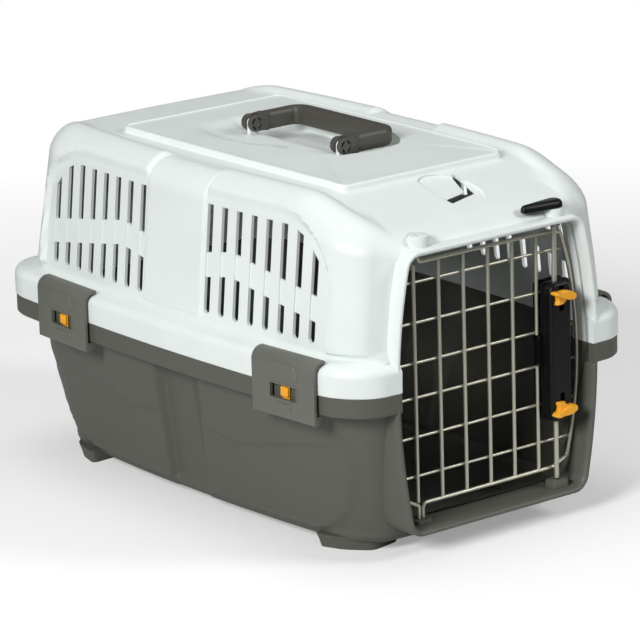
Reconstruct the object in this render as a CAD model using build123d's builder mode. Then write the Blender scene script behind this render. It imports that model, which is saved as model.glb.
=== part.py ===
"""Plastic pet carrier: two shells, a wire door, a folding handle and four side clips.

Millimetres. +Z is up, the door faces -Y, and the origin is on the floor below the middle.
"""
import os
from math import atan2, cos, sin, sqrt

from build123d import *

# Rim where the two shells meet
rim_half_length = 275.0
rim_half_width = 180.0
side_bow = 13.5
end_bow = 4.3
rim_corner_radius = 50.0
seam_height = 160.0
lower_rim_height = 18.4
upper_rim_height = 26.0
rim_wall = 3.0
rim_edge_radius = 8.0

# Lower shell
shell_wall = 3.0
floor_height = 8.0
base_half_width = 141.0
base_front = 236.0
base_rear = 238.0
base_edge_radius = 12.0
tub_half_width = 167.0
tub_front = 267.0
tub_rear = 264.0
foot_length = 56.0
foot_width = 42.0
foot_inset = 30.0
foot_depth_in_tub = 8.0

# Upper shell
cover_half_width = 163.0
cover_front = 267.0
cover_rear = 261.0
roof_height = 322.0
roof_half_width = 147.0
roof_front = 262.0
roof_rear = 241.0
shoulder_radius = 30.0
slope_rear_y = -170.0
slope_front_y = -268.0
slope_front_height = 290.0
panel_half_width = 95.0
panel_front = 166.0
panel_rear = 158.0
panel_height = 327.0
panel_corner_radius = 8.0

# Door opening, a barrel-shaped tunnel through the front wall
opening_bottom = 26.0
opening_top = 281.0
opening_bottom_half_width = 98.0
opening_middle_half_width = 113.0
opening_top_half_width = 97.0
opening_corner_radius = 11.0
collar_wall = 5.0
collar_front = 271.0
collar_rear = 243.0
sill_rear = 233.0

# Vent windows, two on each side
window_inner_y = 43.0
window_outer_y = 207.0
window_bottom = 191.0
window_top = 304.0
window_shoulder_y = 158.0
window_shoulder_height = 262.0
window_depth = 2.6
slot_count = 8
slot_width = 7.0
first_slot_y = 51.4
slot_pitch = 20.6
slot_bottom = 197.6
slot_top = 298.0
slot_band = 22.6
split_inner_height = 231.0
split_rise = 0.17
split_fall = 0.172
split_peak_y = 83.0
arch_start_y = 158.0
arch_drop = 22.0
arch_drop_span = 38.0

# Handle and its recess
handle_rear_y = 68.0
handle_front_y = -80.0
handle_arm_width = 15.0
handle_height = 18.0
pivot_x = -14.0
pivot_height = 333.0
grip_outer_x = 50.0
grip_width = 17.0
grip_edge_radius = 4.0
handle_corner_radius = 12.0
fork_slot_width = 5.2
fork_slot_depth = 12.0
tongue_clearance = 0.4
tongue_radius = 4.5
pivot_pin_radius = 2.4
pivot_pin_clearance = 0.06
recess_clearance = 2.0
recess_floor_height = 313.0
recess_left_x = -62.0
recess_corner_radius = 14.0
recess_wall = 3.0

# Door wires
door_y = -252.0
frame_wire_radius = 1.8
upright_radius = 1.7
cross_radius = 1.3
weld_gap = 0.02
rod_x = 79.0
rod_y = -258.2
hinge_x = -77.7
pin_half_spacing = 2.3
pin_top = 288.0
pin_bottom = 24.5
pin_socket_clearance = 0.1
top_rail_height = 268.0
bottom_rail_height = 45.7
frame_top_height = 250.0
frame_bottom_height = 53.0
frame_end_half_width = 97.0
frame_middle_half_width = 110.0
cross_heights = [249.4, 212.4, 175.6, 143.5, 107.2, 70.8]
upright_first_x = -80.4
upright_pitch = 28.66
upright_count = 6
wire_bend_radius = 5.0

# Door lock
cover_bottom = 93.0
cover_top = 223.0
cover_left = 66.0
cover_right = 91.0
cover_depth = 14.1
flange_left = 65.4
flange_right = 98.0
flange_thickness = 3.0
flange_gap = 0.3
bump_left = 60.5
bump_bottom = 145.0
bump_top = 174.0
rod_radius = 2.3
rod_clearance = 0.1
rod_release_gap = 0.5
rod_inner_top = 190.0
rod_inner_bottom = 126.0
spring_length = 24.0
spring_radius = 2.4
spring_wire_radius = 0.4
spring_turns = 7
bolt_out_travel = 6.0
bolt_back_travel = 8.0
stem_width = 5.0
stem_height = 9.0
stem_clearance = 0.3
upper_tab_height = 209.5
lower_tab_height = 107.0
collar_thickness = 1.1
tab_width = 26.0
tab_projection = 9.0
back_plate_thickness = 3.0
screw_xs = (71.5, 94.0)
screw_heights = (124.0, 194.0)
screw_radius = 1.4
screw_head_radius = 2.8
screw_head_height = 1.8
screw_boss_radius = 3.2

# Keeper lug and hinge pads in the opening
lug_height = 36.0
lug_length = 14.0
lug_width = 18.0
hinge_pad_height = 32.0

# Safety lever over the upper bolt
lever_boss_radius = 10.0
lever_length = 36.0
lever_tip_radius = 4.0
lever_bottom = 292.0
lever_thickness = 7.0
lever_shaft_radius = 5.6
lever_bore_radius = 3.2
lever_hook_bottom = 275.0
lever_clearance = 0.3
shaft_clearance = 0.1

# Side clips
front_clip_y = 187.0
rear_clip_y = 147.0
clip_width = 82.0
clip_wall = 3.0
clip_stand_off = 2.2
clip_top = 190.5
clip_corner_radius = 10.0
clip_lip_width = 2.0
clip_lip_gap = 0.4
clip_hook_reach = 11.0
clip_axis_depth = 2.4
clip_axis_height = 136.6
clip_bar_radius = 2.2
clip_knuckle_radius = 4.2
clip_bar_clearance = 0.06
clip_lug_width = 6.0
clip_lug_offset = 24.0
clip_lug_radius = 3.2
clip_side_gap = 0.4
window_width = 34.0
window_height = 13.0
window_centre_height = 156.5
button_width = 15.0
button_height = 9.0
plate_overlap = 2.0
plate_thickness = 1.4
button_proud = 1.0
embossed_pad_width = 40.0
embossed_pad_height = 15.0
embossed_pad_centre = 175.0
embossed_pad_rise = 0.8

slope = atan2(roof_height - slope_front_height, slope_rear_y - slope_front_y)
os.makedirs("parts", exist_ok=True)


def plan_outline(half_width, front, rear, radius):
    """Draw a plan outline with bowed sides and ends; front and rear are distances from Y = 0."""
    corner_x = half_width - side_bow
    front_y = end_bow - front
    rear_y = rear - end_bow
    middle_y = (rear - front) / 2
    with BuildLine() as lines:
        ThreePointArc((corner_x, front_y), (half_width, middle_y), (corner_x, rear_y))
        ThreePointArc((corner_x, rear_y), (0, rear), (-corner_x, rear_y))
        ThreePointArc((-corner_x, rear_y), (-half_width, middle_y), (-corner_x, front_y))
        ThreePointArc((-corner_x, front_y), (0, -front), (corner_x, front_y))
    make_face(lines.edges())
    fillet(vertices(), radius)


def barrel_outline(grow):
    """Draw the door opening seen from the front, grown outwards by a distance."""
    bottom = opening_bottom - grow
    top = opening_top + grow
    low_x = opening_bottom_half_width + grow
    mid_x = opening_middle_half_width + grow
    top_x = opening_top_half_width + grow
    with BuildLine() as lines:
        Line((-low_x, bottom), (low_x, bottom))
        ThreePointArc((low_x, bottom), (mid_x, seam_height), (top_x, top))
        Line((top_x, top), (-top_x, top))
        ThreePointArc((-top_x, top), (-mid_x, seam_height), (-low_x, bottom))
    make_face(lines.edges())
    fillet(vertices(), opening_corner_radius + grow)


def cover_width_at(height):
    """Half width of the upper shell's wall at a height, without its bow."""
    share = (height - seam_height) / (roof_height - seam_height)
    return cover_half_width + share * (roof_half_width - cover_half_width)


def side_bow_at(y):
    """How far the bowed side has drawn in at a distance along the carrier."""
    return side_bow * (y / rim_half_length) ** 2


def cut_front_slope(drop):
    """Cut the part under construction along the roof's front slope, lowered by a distance."""
    normal = (0, -sin(slope), cos(slope))
    split(bisect_by=Plane(origin=(0, slope_front_y, slope_front_height - drop / cos(slope)), z_dir=normal),
          keep=Keep.BOTTOM)


def window_plane(side, end):
    """Plane on the outside of the side wall at a vent window; local X runs outwards from the middle."""
    middle_y = (window_inner_y + window_outer_y) / 2
    middle_z = (window_bottom + window_top) / 2
    x = cover_width_at(middle_z) - side_bow_at(middle_y)
    along = (0, end, 0)
    lean = atan2(cover_half_width - roof_half_width, roof_height - seam_height)
    turn = atan2(2 * side_bow * middle_y, rim_half_length**2)
    outward = (side * cos(lean) * cos(turn), end * cos(lean) * sin(turn), sin(lean))
    return Plane(origin=(side * x, end * middle_y, middle_z), x_dir=along, z_dir=outward)


def window_point(y, height, mirrored):
    """Turn a distance from the middle and a height into the window plane's own coordinates."""
    across = y - (window_inner_y + window_outer_y) / 2
    up = height - (window_bottom + window_top) / 2
    return (across, -up if mirrored else up)


def window_outline(grow, mirrored):
    """Draw the vent window: straight sides and an arched outer shoulder."""
    inner = window_inner_y - grow
    outer = window_outer_y + grow
    low = window_bottom - grow
    high = window_top + grow

    def place(y, height):
        return window_point(y, height, mirrored)

    middle_y = (window_shoulder_y + outer) / 2 + 8
    middle_z = (window_shoulder_height + high) / 2 + 9
    with BuildLine() as lines:
        Line(place(inner, low), place(outer, low))
        Line(place(outer, low), place(outer, window_shoulder_height))
        ThreePointArc(place(outer, window_shoulder_height), place(middle_y, middle_z),
                      place(window_shoulder_y, high))
        Line(place(window_shoulder_y, high), place(inner, high))
        Line(place(inner, high), place(inner, low))
    make_face(lines.edges())


def split_height_at(y):
    """Top of the lower row of slots: it rises a little, then falls towards the outer end."""
    peak = split_inner_height + split_rise * (split_peak_y - first_slot_y)
    if y < split_peak_y:
        return peak - split_rise * (split_peak_y - y)
    return peak - split_fall * (y - split_peak_y)


def arch_height_at(y):
    """Top of the upper row of slots: level, then falling under the arch."""
    return slot_top - arch_drop * max(0.0, (y - arch_start_y) / arch_drop_span) ** 2


def vent_slots(mirrored):
    """Draw both rows of slots of one window."""
    for number in range(slot_count):
        left = first_slot_y + number * slot_pitch - slot_width / 2
        right = left + slot_width
        rows = [
            (slot_bottom, slot_bottom, split_height_at(left), split_height_at(right)),
            (split_height_at(left) + slot_band, split_height_at(right) + slot_band,
             arch_height_at(left), arch_height_at(right)),
        ]
        for low_left, low_right, high_left, high_right in rows:
            with BuildLine() as lines:
                Polyline(window_point(left, low_left, mirrored), window_point(right, low_right, mirrored),
                         window_point(right, high_right, mirrored), window_point(left, high_left, mirrored),
                         close=True)
            make_face(lines.edges())


def clip_plane(side, end):
    """Plane across a clip: local X points out of the rim's face, local Y is up."""
    y = front_clip_y if end < 0 else rear_clip_y
    turn = atan2(2 * side_bow * y, rim_half_length**2)
    x = side * (rim_half_width - side_bow_at(y))
    outward = Vector(side * cos(turn), end * sin(turn), 0)
    return Plane(origin=(x, end * y, 0), x_dir=outward, z_dir=outward.cross(Vector(0, 0, 1)))


def clip_face_plane(side, end, depth):
    """Plane on a clip's outer face at a distance out of the rim's face; local Y is up."""
    base = clip_plane(side, end)
    outward = base.x_dir
    return Plane(origin=base.origin + outward * depth, x_dir=Vector(0, 0, 1).cross(outward), z_dir=outward)


corners = [("front_left", -1, -1), ("front_right", 1, -1), ("rear_left", -1, 1), ("rear_right", 1, 1)]

# Lower shell
with BuildPart() as tub_cavity:
    with BuildSketch(Plane.XY.offset(floor_height + shell_wall)):
        plan_outline(base_half_width - shell_wall, base_front - shell_wall, base_rear - shell_wall,
                     rim_corner_radius - shell_wall)
    with BuildSketch(Plane.XY.offset(seam_height)):
        plan_outline(tub_half_width - shell_wall, tub_front - shell_wall, tub_rear - shell_wall,
                     rim_corner_radius - shell_wall)
    loft(ruled=True)
    fillet(edges().group_by(Axis.Z)[0], base_edge_radius - shell_wall)
    with BuildSketch(Plane.XZ.offset(collar_rear)):
        barrel_outline(collar_wall)
    extrude(amount=rim_half_length - collar_rear, mode=Mode.SUBTRACT)

with BuildPart() as lower_shell:
    with BuildSketch(Plane.XY.offset(seam_height - lower_rim_height)):
        plan_outline(rim_half_width, rim_half_length, rim_half_length, rim_corner_radius)
    extrude(amount=lower_rim_height)
    with BuildSketch(Plane.XY.offset(seam_height - lower_rim_height)):
        plan_outline(rim_half_width - rim_wall, rim_half_length - rim_wall, rim_half_length - rim_wall,
                     rim_corner_radius - rim_wall)
    extrude(amount=lower_rim_height - rim_wall, mode=Mode.SUBTRACT)
    with BuildSketch(Plane.XY.offset(floor_height)):
        plan_outline(base_half_width, base_front, base_rear, rim_corner_radius)
    with BuildSketch(Plane.XY.offset(seam_height)):
        plan_outline(tub_half_width, tub_front, tub_rear, rim_corner_radius)
    loft(ruled=True)
    fillet(edges().group_by(Axis.Z)[0], base_edge_radius)
    for foot_x in (-1, 1):
        for foot_y in (-(base_front - foot_inset), base_rear - foot_inset):
            with BuildSketch(Plane.XY):
                with Locations((foot_x * (base_half_width - side_bow - foot_inset), foot_y)):
                    RectangleRounded(foot_width, foot_length, foot_width / 4)
            extrude(amount=floor_height + foot_depth_in_tub)
    with BuildSketch(Plane.XZ.offset(sill_rear)):
        barrel_outline(collar_wall)
        with Locations((0, (seam_height + roof_height) / 2)):
            Rectangle(4 * rim_half_width, roof_height - seam_height, mode=Mode.SUBTRACT)
    extrude(amount=collar_front - sill_rear)
    add(tub_cavity.part, mode=Mode.SUBTRACT)
    with BuildSketch(Plane.XZ.offset(sill_rear - shell_wall)):
        barrel_outline(0)
    extrude(amount=rim_half_length, mode=Mode.SUBTRACT)
    # keeper lug for the lower bolt and pad for the lower hinge pins, with their holes
    with BuildSketch(Plane.XY.offset(opening_bottom - collar_wall / 2)):
        with Locations((rod_x, rod_y)):
            RectangleRounded(lug_width, lug_length, 3)
    extrude(amount=lug_height - opening_bottom + collar_wall / 2)
    with BuildSketch(Plane.XY.offset(opening_bottom - collar_wall / 2)):
        with Locations((hinge_x, door_y)):
            RectangleRounded(lug_width, lug_length, 3)
    extrude(amount=hinge_pad_height - opening_bottom + collar_wall / 2)
    with BuildSketch(Plane.XY.offset(lug_height)):
        with Locations((rod_x, rod_y)):
            Circle(rod_radius + rod_clearance)
    extrude(amount=-(bolt_out_travel + 2 * rod_release_gap), mode=Mode.SUBTRACT)
    with BuildSketch(Plane.XY.offset(hinge_pad_height)):
        with Locations((hinge_x, door_y)):
            Circle(pin_half_spacing + frame_wire_radius + pin_socket_clearance)
    extrude(amount=-(hinge_pad_height - pin_bottom + rod_release_gap), mode=Mode.SUBTRACT)
    # lugs and bars that the side clips hang on
    lug_top = seam_height - lower_rim_height + rim_wall / 2
    for name, side, end in corners:
        for lug_place in (-clip_lug_offset, clip_lug_offset):
            with BuildSketch(clip_plane(side, end).offset(lug_place - clip_lug_width / 2)):
                with Locations((-clip_axis_depth, (clip_axis_height + lug_top) / 2)):
                    Rectangle(2 * clip_lug_radius, lug_top - clip_axis_height)
                with Locations((-clip_axis_depth, clip_axis_height)):
                    Circle(clip_lug_radius)
            extrude(amount=clip_lug_width)
        with BuildSketch(clip_plane(side, end)):
            with Locations((-clip_axis_depth, clip_axis_height)):
                Circle(clip_bar_radius)
        extrude(amount=clip_width / 2 - clip_side_gap, both=True)
lower_shell.part.label = "lower_shell"
export_step(lower_shell.part, "parts/lower_shell.step")

# Upper shell
recess_front_y = handle_front_y - recess_clearance
recess_rear_y = handle_rear_y + recess_clearance
recess_right_x = grip_outer_x + recess_clearance
recess_middle = ((recess_left_x + recess_right_x) / 2, (recess_front_y + recess_rear_y) / 2)
recess_size = (recess_right_x - recess_left_x, recess_rear_y - recess_front_y)
head_bottom = opening_top
lever_pocket_radius = lever_boss_radius + lever_clearance
windows = [(side, end, side * end > 0) for side in (-1, 1) for end in (-1, 1)]


def teardrop(radius, tip_radius):
    """Draw the lever's plan: a round end on its axis and a slim tip towards -X."""
    length = lever_length
    lean = atan2(radius - tip_radius, length)
    with BuildLine() as lines:
        Polyline((rod_x - radius * sin(lean), rod_y + radius * cos(lean)),
                 (rod_x - length - tip_radius * sin(lean), rod_y + tip_radius * cos(lean)),
                 (rod_x - length - tip_radius * sin(lean), rod_y - tip_radius * cos(lean)),
                 (rod_x - radius * sin(lean), rod_y - radius * cos(lean)), close=True)
    make_face(lines.edges())
    with Locations((rod_x, rod_y)):
        Circle(radius)
    with Locations((rod_x - length, rod_y)):
        Circle(tip_radius)


with BuildPart() as cover_cavity:
    with BuildSketch(Plane.XY.offset(seam_height)):
        plan_outline(cover_half_width - shell_wall, cover_front - shell_wall, cover_rear - shell_wall,
                     rim_corner_radius - shell_wall)
    with BuildSketch(Plane.XY.offset(roof_height - shell_wall)):
        plan_outline(roof_half_width - shell_wall, roof_front - shell_wall, roof_rear - shell_wall,
                     rim_corner_radius - shell_wall)
    loft(ruled=True)
    fillet(edges().group_by(Axis.Z)[-1], shoulder_radius - shell_wall)
    cut_front_slope(shell_wall)
    # material kept round the door tunnel, the handle recess, the windows and the door head
    with BuildSketch(Plane.XZ.offset(collar_rear)):
        barrel_outline(collar_wall)
    extrude(amount=rim_half_length - collar_rear, mode=Mode.SUBTRACT)
    with BuildSketch(Plane.XY.offset(recess_floor_height - recess_wall)):
        with Locations(recess_middle):
            RectangleRounded(recess_size[0] + 2 * recess_wall, recess_size[1] + 2 * recess_wall,
                             recess_corner_radius + recess_wall)
    extrude(amount=panel_height - recess_floor_height, mode=Mode.SUBTRACT)
    for side, end, mirrored in windows:
        with BuildSketch(window_plane(side, end).offset(-window_depth - shell_wall)):
            window_outline(shell_wall, mirrored)
        extrude(amount=2 * shell_wall + window_depth, mode=Mode.SUBTRACT)
    for pad_x, pad_y in ((rod_x, rod_y), (-rod_x, rod_y), (hinge_x, door_y)):
        with BuildSketch(Plane.XY.offset(head_bottom)):
            with Locations((pad_x, pad_y)):
                Circle(lever_pocket_radius + shell_wall)
        extrude(amount=roof_height - head_bottom, mode=Mode.SUBTRACT)
    with BuildSketch(Plane.XY.offset(head_bottom)):
        with Locations((rod_x - lever_length / 2, rod_y)):
            Rectangle(lever_length + 2 * shell_wall, 2 * lever_pocket_radius)
    extrude(amount=lever_bottom - head_bottom, mode=Mode.SUBTRACT)

with BuildPart() as upper_shell:
    with BuildSketch(Plane.XY.offset(seam_height)):
        plan_outline(rim_half_width, rim_half_length, rim_half_length, rim_corner_radius)
    extrude(amount=upper_rim_height)
    fillet(edges().group_by(Axis.Z)[-1], rim_edge_radius)
    with BuildSketch(Plane.XY.offset(seam_height)):
        plan_outline(rim_half_width - rim_wall, rim_half_length - rim_wall, rim_half_length - rim_wall,
                     rim_corner_radius - rim_wall)
    extrude(amount=upper_rim_height - rim_edge_radius, mode=Mode.SUBTRACT)
    with BuildSketch(Plane.XY.offset(seam_height)):
        plan_outline(cover_half_width, cover_front, cover_rear, rim_corner_radius)
    with BuildSketch(Plane.XY.offset(roof_height)):
        plan_outline(roof_half_width, roof_front, roof_rear, rim_corner_radius)
    loft(ruled=True)
    fillet(edges().group_by(Axis.Z)[-1], shoulder_radius)
    cut_front_slope(0)
    with BuildSketch(Plane.XY.offset(roof_height - shell_wall)):
        with Locations((0, (panel_rear - panel_front) / 2)):
            RectangleRounded(2 * panel_half_width, panel_front + panel_rear, panel_corner_radius)
    extrude(amount=panel_height - roof_height + shell_wall)
    with BuildSketch(Plane.XZ.offset(collar_rear)):
        barrel_outline(collar_wall)
        with Locations((0, seam_height / 2)):
            Rectangle(4 * rim_half_width, seam_height, mode=Mode.SUBTRACT)
    extrude(amount=collar_front - collar_rear)
    add(cover_cavity.part, mode=Mode.SUBTRACT)
    with BuildSketch(Plane.XZ.offset(collar_rear - shell_wall)):
        barrel_outline(0)
    extrude(amount=rim_half_length, mode=Mode.SUBTRACT)
    # vent windows: shallow recesses with two rows of slots
    for side, end, mirrored in windows:
        with BuildSketch(window_plane(side, end).offset(-window_depth)):
            window_outline(0, mirrored)
        extrude(amount=3 * window_depth, mode=Mode.SUBTRACT)
        with BuildSketch(window_plane(side, end).offset(-window_depth - 2 * shell_wall)):
            vent_slots(mirrored)
        extrude(amount=3 * shell_wall, mode=Mode.SUBTRACT)
    # handle recess with its two pivot tongues
    with BuildSketch(Plane.XY.offset(recess_floor_height)):
        with Locations(recess_middle):
            RectangleRounded(*recess_size, recess_corner_radius)
    extrude(amount=2 * (panel_height - recess_floor_height), mode=Mode.SUBTRACT)
    for arm_y in (handle_front_y + handle_arm_width / 2, handle_rear_y - handle_arm_width / 2):
        tongue_width = fork_slot_width - 2 * tongue_clearance
        with BuildSketch(Plane.XZ.offset(-arm_y - tongue_width / 2)):
            with Locations((pivot_x, (recess_floor_height + pivot_height) / 2)):
                Rectangle(2 * tongue_radius, pivot_height - recess_floor_height)
            with Locations((pivot_x, pivot_height)):
                Circle(tongue_radius)
                Circle(pivot_pin_radius + pivot_pin_clearance, mode=Mode.SUBTRACT)
        extrude(amount=tongue_width)
    # pockets of the safety lever and of its unused twin, shaft hole and hinge pin hole
    with BuildSketch(Plane.XY.offset(lever_bottom - lever_clearance)):
        teardrop(lever_pocket_radius, lever_tip_radius + lever_clearance)
        with Locations((-rod_x, rod_y)):
            Circle(lever_pocket_radius)
    extrude(amount=panel_height - lever_bottom, mode=Mode.SUBTRACT)
    with BuildSketch(Plane.XY.offset(head_bottom - collar_wall)):
        with Locations((rod_x, rod_y)):
            Circle(lever_shaft_radius + shaft_clearance)
    extrude(amount=panel_height - head_bottom, mode=Mode.SUBTRACT)
    with BuildSketch(Plane.XY.offset(head_bottom - collar_wall)):
        with Locations((hinge_x, door_y)):
            Circle(pin_half_spacing + frame_wire_radius + pin_socket_clearance)
    extrude(amount=pin_top + rod_release_gap - head_bottom + collar_wall, mode=Mode.SUBTRACT)
upper_shell.part.label = "upper_shell"
export_step(upper_shell.part, "parts/upper_shell.step")

# Carry handle, folded down towards +X
arm_middles = [handle_front_y + handle_arm_width / 2, handle_rear_y - handle_arm_width / 2]
with BuildPart() as carry_handle:
    with BuildSketch(Plane.XZ.offset(-handle_rear_y)):
        with Locations(((pivot_x + grip_outer_x) / 2, pivot_height)):
            Rectangle(grip_outer_x - pivot_x, handle_height)
        with Locations((pivot_x, pivot_height)):
            Circle(handle_height / 2)
    extrude(amount=handle_rear_y - handle_front_y)
    fillet(edges().filter_by(Axis.Z).group_by(Axis.X)[-1], handle_corner_radius)
    fillet(edges().filter_by(Axis.Y).group_by(Axis.X)[-1], grip_edge_radius)
    with BuildSketch(Plane.XY.offset(pivot_height - handle_height / 2)):
        with Locations((grip_outer_x - grip_width, (handle_front_y + handle_rear_y) / 2)):
            Rectangle(grip_outer_x - grip_width - pivot_x + handle_height,
                      handle_rear_y - handle_front_y - 2 * handle_arm_width, align=(Align.MAX, Align.CENTER))
    extrude(amount=handle_height, mode=Mode.SUBTRACT)
    inner_length = handle_rear_y - handle_front_y - 2 * handle_arm_width
    fillet(edges().filter_by(lambda edge: abs(edge.length - inner_length) < weld_gap), grip_edge_radius)
    for arm_y in arm_middles:
        with BuildSketch(Plane.XY.offset(pivot_height - handle_height)):
            with Locations((pivot_x + fork_slot_depth, arm_y)):
                Rectangle(handle_height + fork_slot_depth, fork_slot_width, align=(Align.MAX, Align.CENTER))
        extrude(amount=2 * handle_height, mode=Mode.SUBTRACT)
    with BuildSketch(Plane.XZ.offset(-handle_rear_y)):
        with Locations((pivot_x, pivot_height)):
            Circle(pivot_pin_radius + weld_gap)
    extrude(amount=handle_rear_y - handle_front_y, mode=Mode.SUBTRACT)
carry_handle.part.label = "carry_handle"
export_step(carry_handle.part, "parts/carry_handle.step")

with BuildPart() as handle_pivot_pins:
    for arm_y in arm_middles:
        with BuildSketch(Plane.XZ.offset(-arm_y)):
            with Locations((pivot_x, pivot_height)):
                Circle(pivot_pin_radius)
        extrude(amount=handle_arm_width / 2 - rod_release_gap, both=True)
handle_pivot_pins.part.label = "handle_pivot_pins"
export_step(handle_pivot_pins.part, "parts/handle_pivot_pins.step")

# Safety lever: plate on the door head, shaft down through it, open hook round the upper bolt
with BuildPart() as safety_lever:
    with BuildSketch(Plane.XY.offset(lever_bottom)):
        teardrop(lever_boss_radius, lever_tip_radius)
    extrude(amount=lever_thickness)
    fillet(edges().group_by(Axis.Z)[-1], lever_thickness / 3)
    with BuildSketch(Plane.XY.offset(lever_hook_bottom)):
        with Locations((rod_x, rod_y)):
            Circle(lever_shaft_radius)
    extrude(amount=lever_bottom - lever_hook_bottom)
    with BuildSketch(Plane.XY.offset(lever_hook_bottom)):
        with Locations((rod_x, rod_y)):
            Circle(lever_bore_radius)
    extrude(amount=head_bottom - lever_hook_bottom + bolt_out_travel + rod_release_gap, mode=Mode.SUBTRACT)
    with BuildSketch(Plane.XY.offset(lever_hook_bottom)):
        with Locations((rod_x, rod_y)):
            Rectangle(2 * lever_bore_radius, 2 * lever_shaft_radius, align=(Align.CENTER, Align.MAX))
    extrude(amount=head_bottom - lever_hook_bottom, mode=Mode.SUBTRACT)
safety_lever.part.label = "safety_lever"
export_step(safety_lever.part, "parts/safety_lever.step")

# Door wires
cross_y = door_y + frame_wire_radius + cross_radius + weld_gap
upright_y = cross_y - cross_radius - upright_radius - weld_gap
frame_rise = (frame_top_height - frame_bottom_height) / 2
frame_sag = frame_middle_half_width - frame_end_half_width
frame_arc_radius = (frame_rise**2 + frame_sag**2) / (2 * frame_sag)
rail_end_x = frame_end_half_width - 3.5 * wire_bend_radius


def frame_half_width_at(height):
    """Half width of the barrel-shaped door frame at a height."""
    middle = (frame_top_height + frame_bottom_height) / 2
    return frame_middle_half_width - frame_arc_radius + sqrt(frame_arc_radius**2 - (height - middle) ** 2)


def upright_x(number):
    """Place of an upright wire across the door."""
    return upright_first_x + number * upright_pitch


frame_middle = (frame_top_height + frame_bottom_height) / 2
frame_apex_x = frame_end_half_width + 2 * frame_sag
frame_path_radius = 0.93 * frame_arc_radius
with BuildPart() as door_frame_wire:
    pin_x = hinge_x + pin_half_spacing
    with BuildLine(Plane.XZ.offset(-door_y)) as frame_path:
        FilletPolyline((pin_x, pin_bottom), (pin_x, bottom_rail_height), (rail_end_x, bottom_rail_height),
                       (frame_end_half_width, frame_bottom_height), (frame_apex_x, frame_middle),
                       (frame_end_half_width, frame_top_height),
                       (frame_end_half_width - wire_bend_radius, top_rail_height - wire_bend_radius / 2),
                       (rail_end_x, top_rail_height), (pin_x, top_rail_height), (pin_x, pin_top),
                       radius=[wire_bend_radius, wire_bend_radius, wire_bend_radius, frame_path_radius,
                               wire_bend_radius, wire_bend_radius, wire_bend_radius, wire_bend_radius])
    with BuildSketch(Plane(origin=frame_path.line @ 0, z_dir=frame_path.line % 0)):
        Circle(frame_wire_radius)
    sweep()
door_frame_wire.part.label = "door_frame_wire"
export_step(door_frame_wire.part, "parts/door_frame_wire.step")

with BuildPart() as door_hinge_wire:
    pin_x = hinge_x - pin_half_spacing
    with BuildLine(Plane.XZ.offset(-door_y)) as hinge_path:
        FilletPolyline((pin_x, pin_bottom), (pin_x, bottom_rail_height - frame_wire_radius),
                       (-frame_end_half_width, frame_bottom_height), (-frame_apex_x, frame_middle),
                       (-frame_end_half_width, frame_top_height),
                       (pin_x - wire_bend_radius, top_rail_height + wire_bend_radius),
                       (pin_x, top_rail_height + 2 * wire_bend_radius), (pin_x, pin_top),
                       radius=[wire_bend_radius / 2, wire_bend_radius, frame_path_radius,
                               wire_bend_radius, wire_bend_radius / 2, wire_bend_radius / 2])
    with BuildSketch(Plane(origin=hinge_path.line @ 0, z_dir=hinge_path.line % 0)):
        Circle(frame_wire_radius)
    sweep()
door_hinge_wire.part.label = "door_hinge_wire"
export_step(door_hinge_wire.part, "parts/door_hinge_wire.step")

upright_low = bottom_rail_height + frame_wire_radius + weld_gap
upright_high = top_rail_height - frame_wire_radius - weld_gap
with BuildPart() as door_upright_wires:
    spans = [(0, upright_low, upright_high)]
    spans += [(number, upright_low, upright_high) for number in range(1, upright_count - 1)]
    spans += [(upright_count - 1, upright_low, cross_heights[3] + cross_radius),
              (upright_count - 1, cross_heights[2] - cross_radius, upright_high)]
    for number, low, high in spans:
        with BuildSketch(Plane.XY.offset(low)):
            with Locations((upright_x(number), upright_y)):
                Circle(upright_radius)
        extrude(amount=high - low)
door_upright_wires.part.label = "door_upright_wires"
export_step(door_upright_wires.part, "parts/door_upright_wires.step")

with BuildPart() as door_cross_wires:
    for height in cross_heights:
        with BuildSketch(Plane.YZ):
            with Locations((cross_y, height)):
                Circle(cross_radius)
        extrude(amount=frame_half_width_at(height) + frame_wire_radius, both=True)
door_cross_wires.part.label = "door_cross_wires"
export_step(door_cross_wires.part, "parts/door_cross_wires.step")

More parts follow.
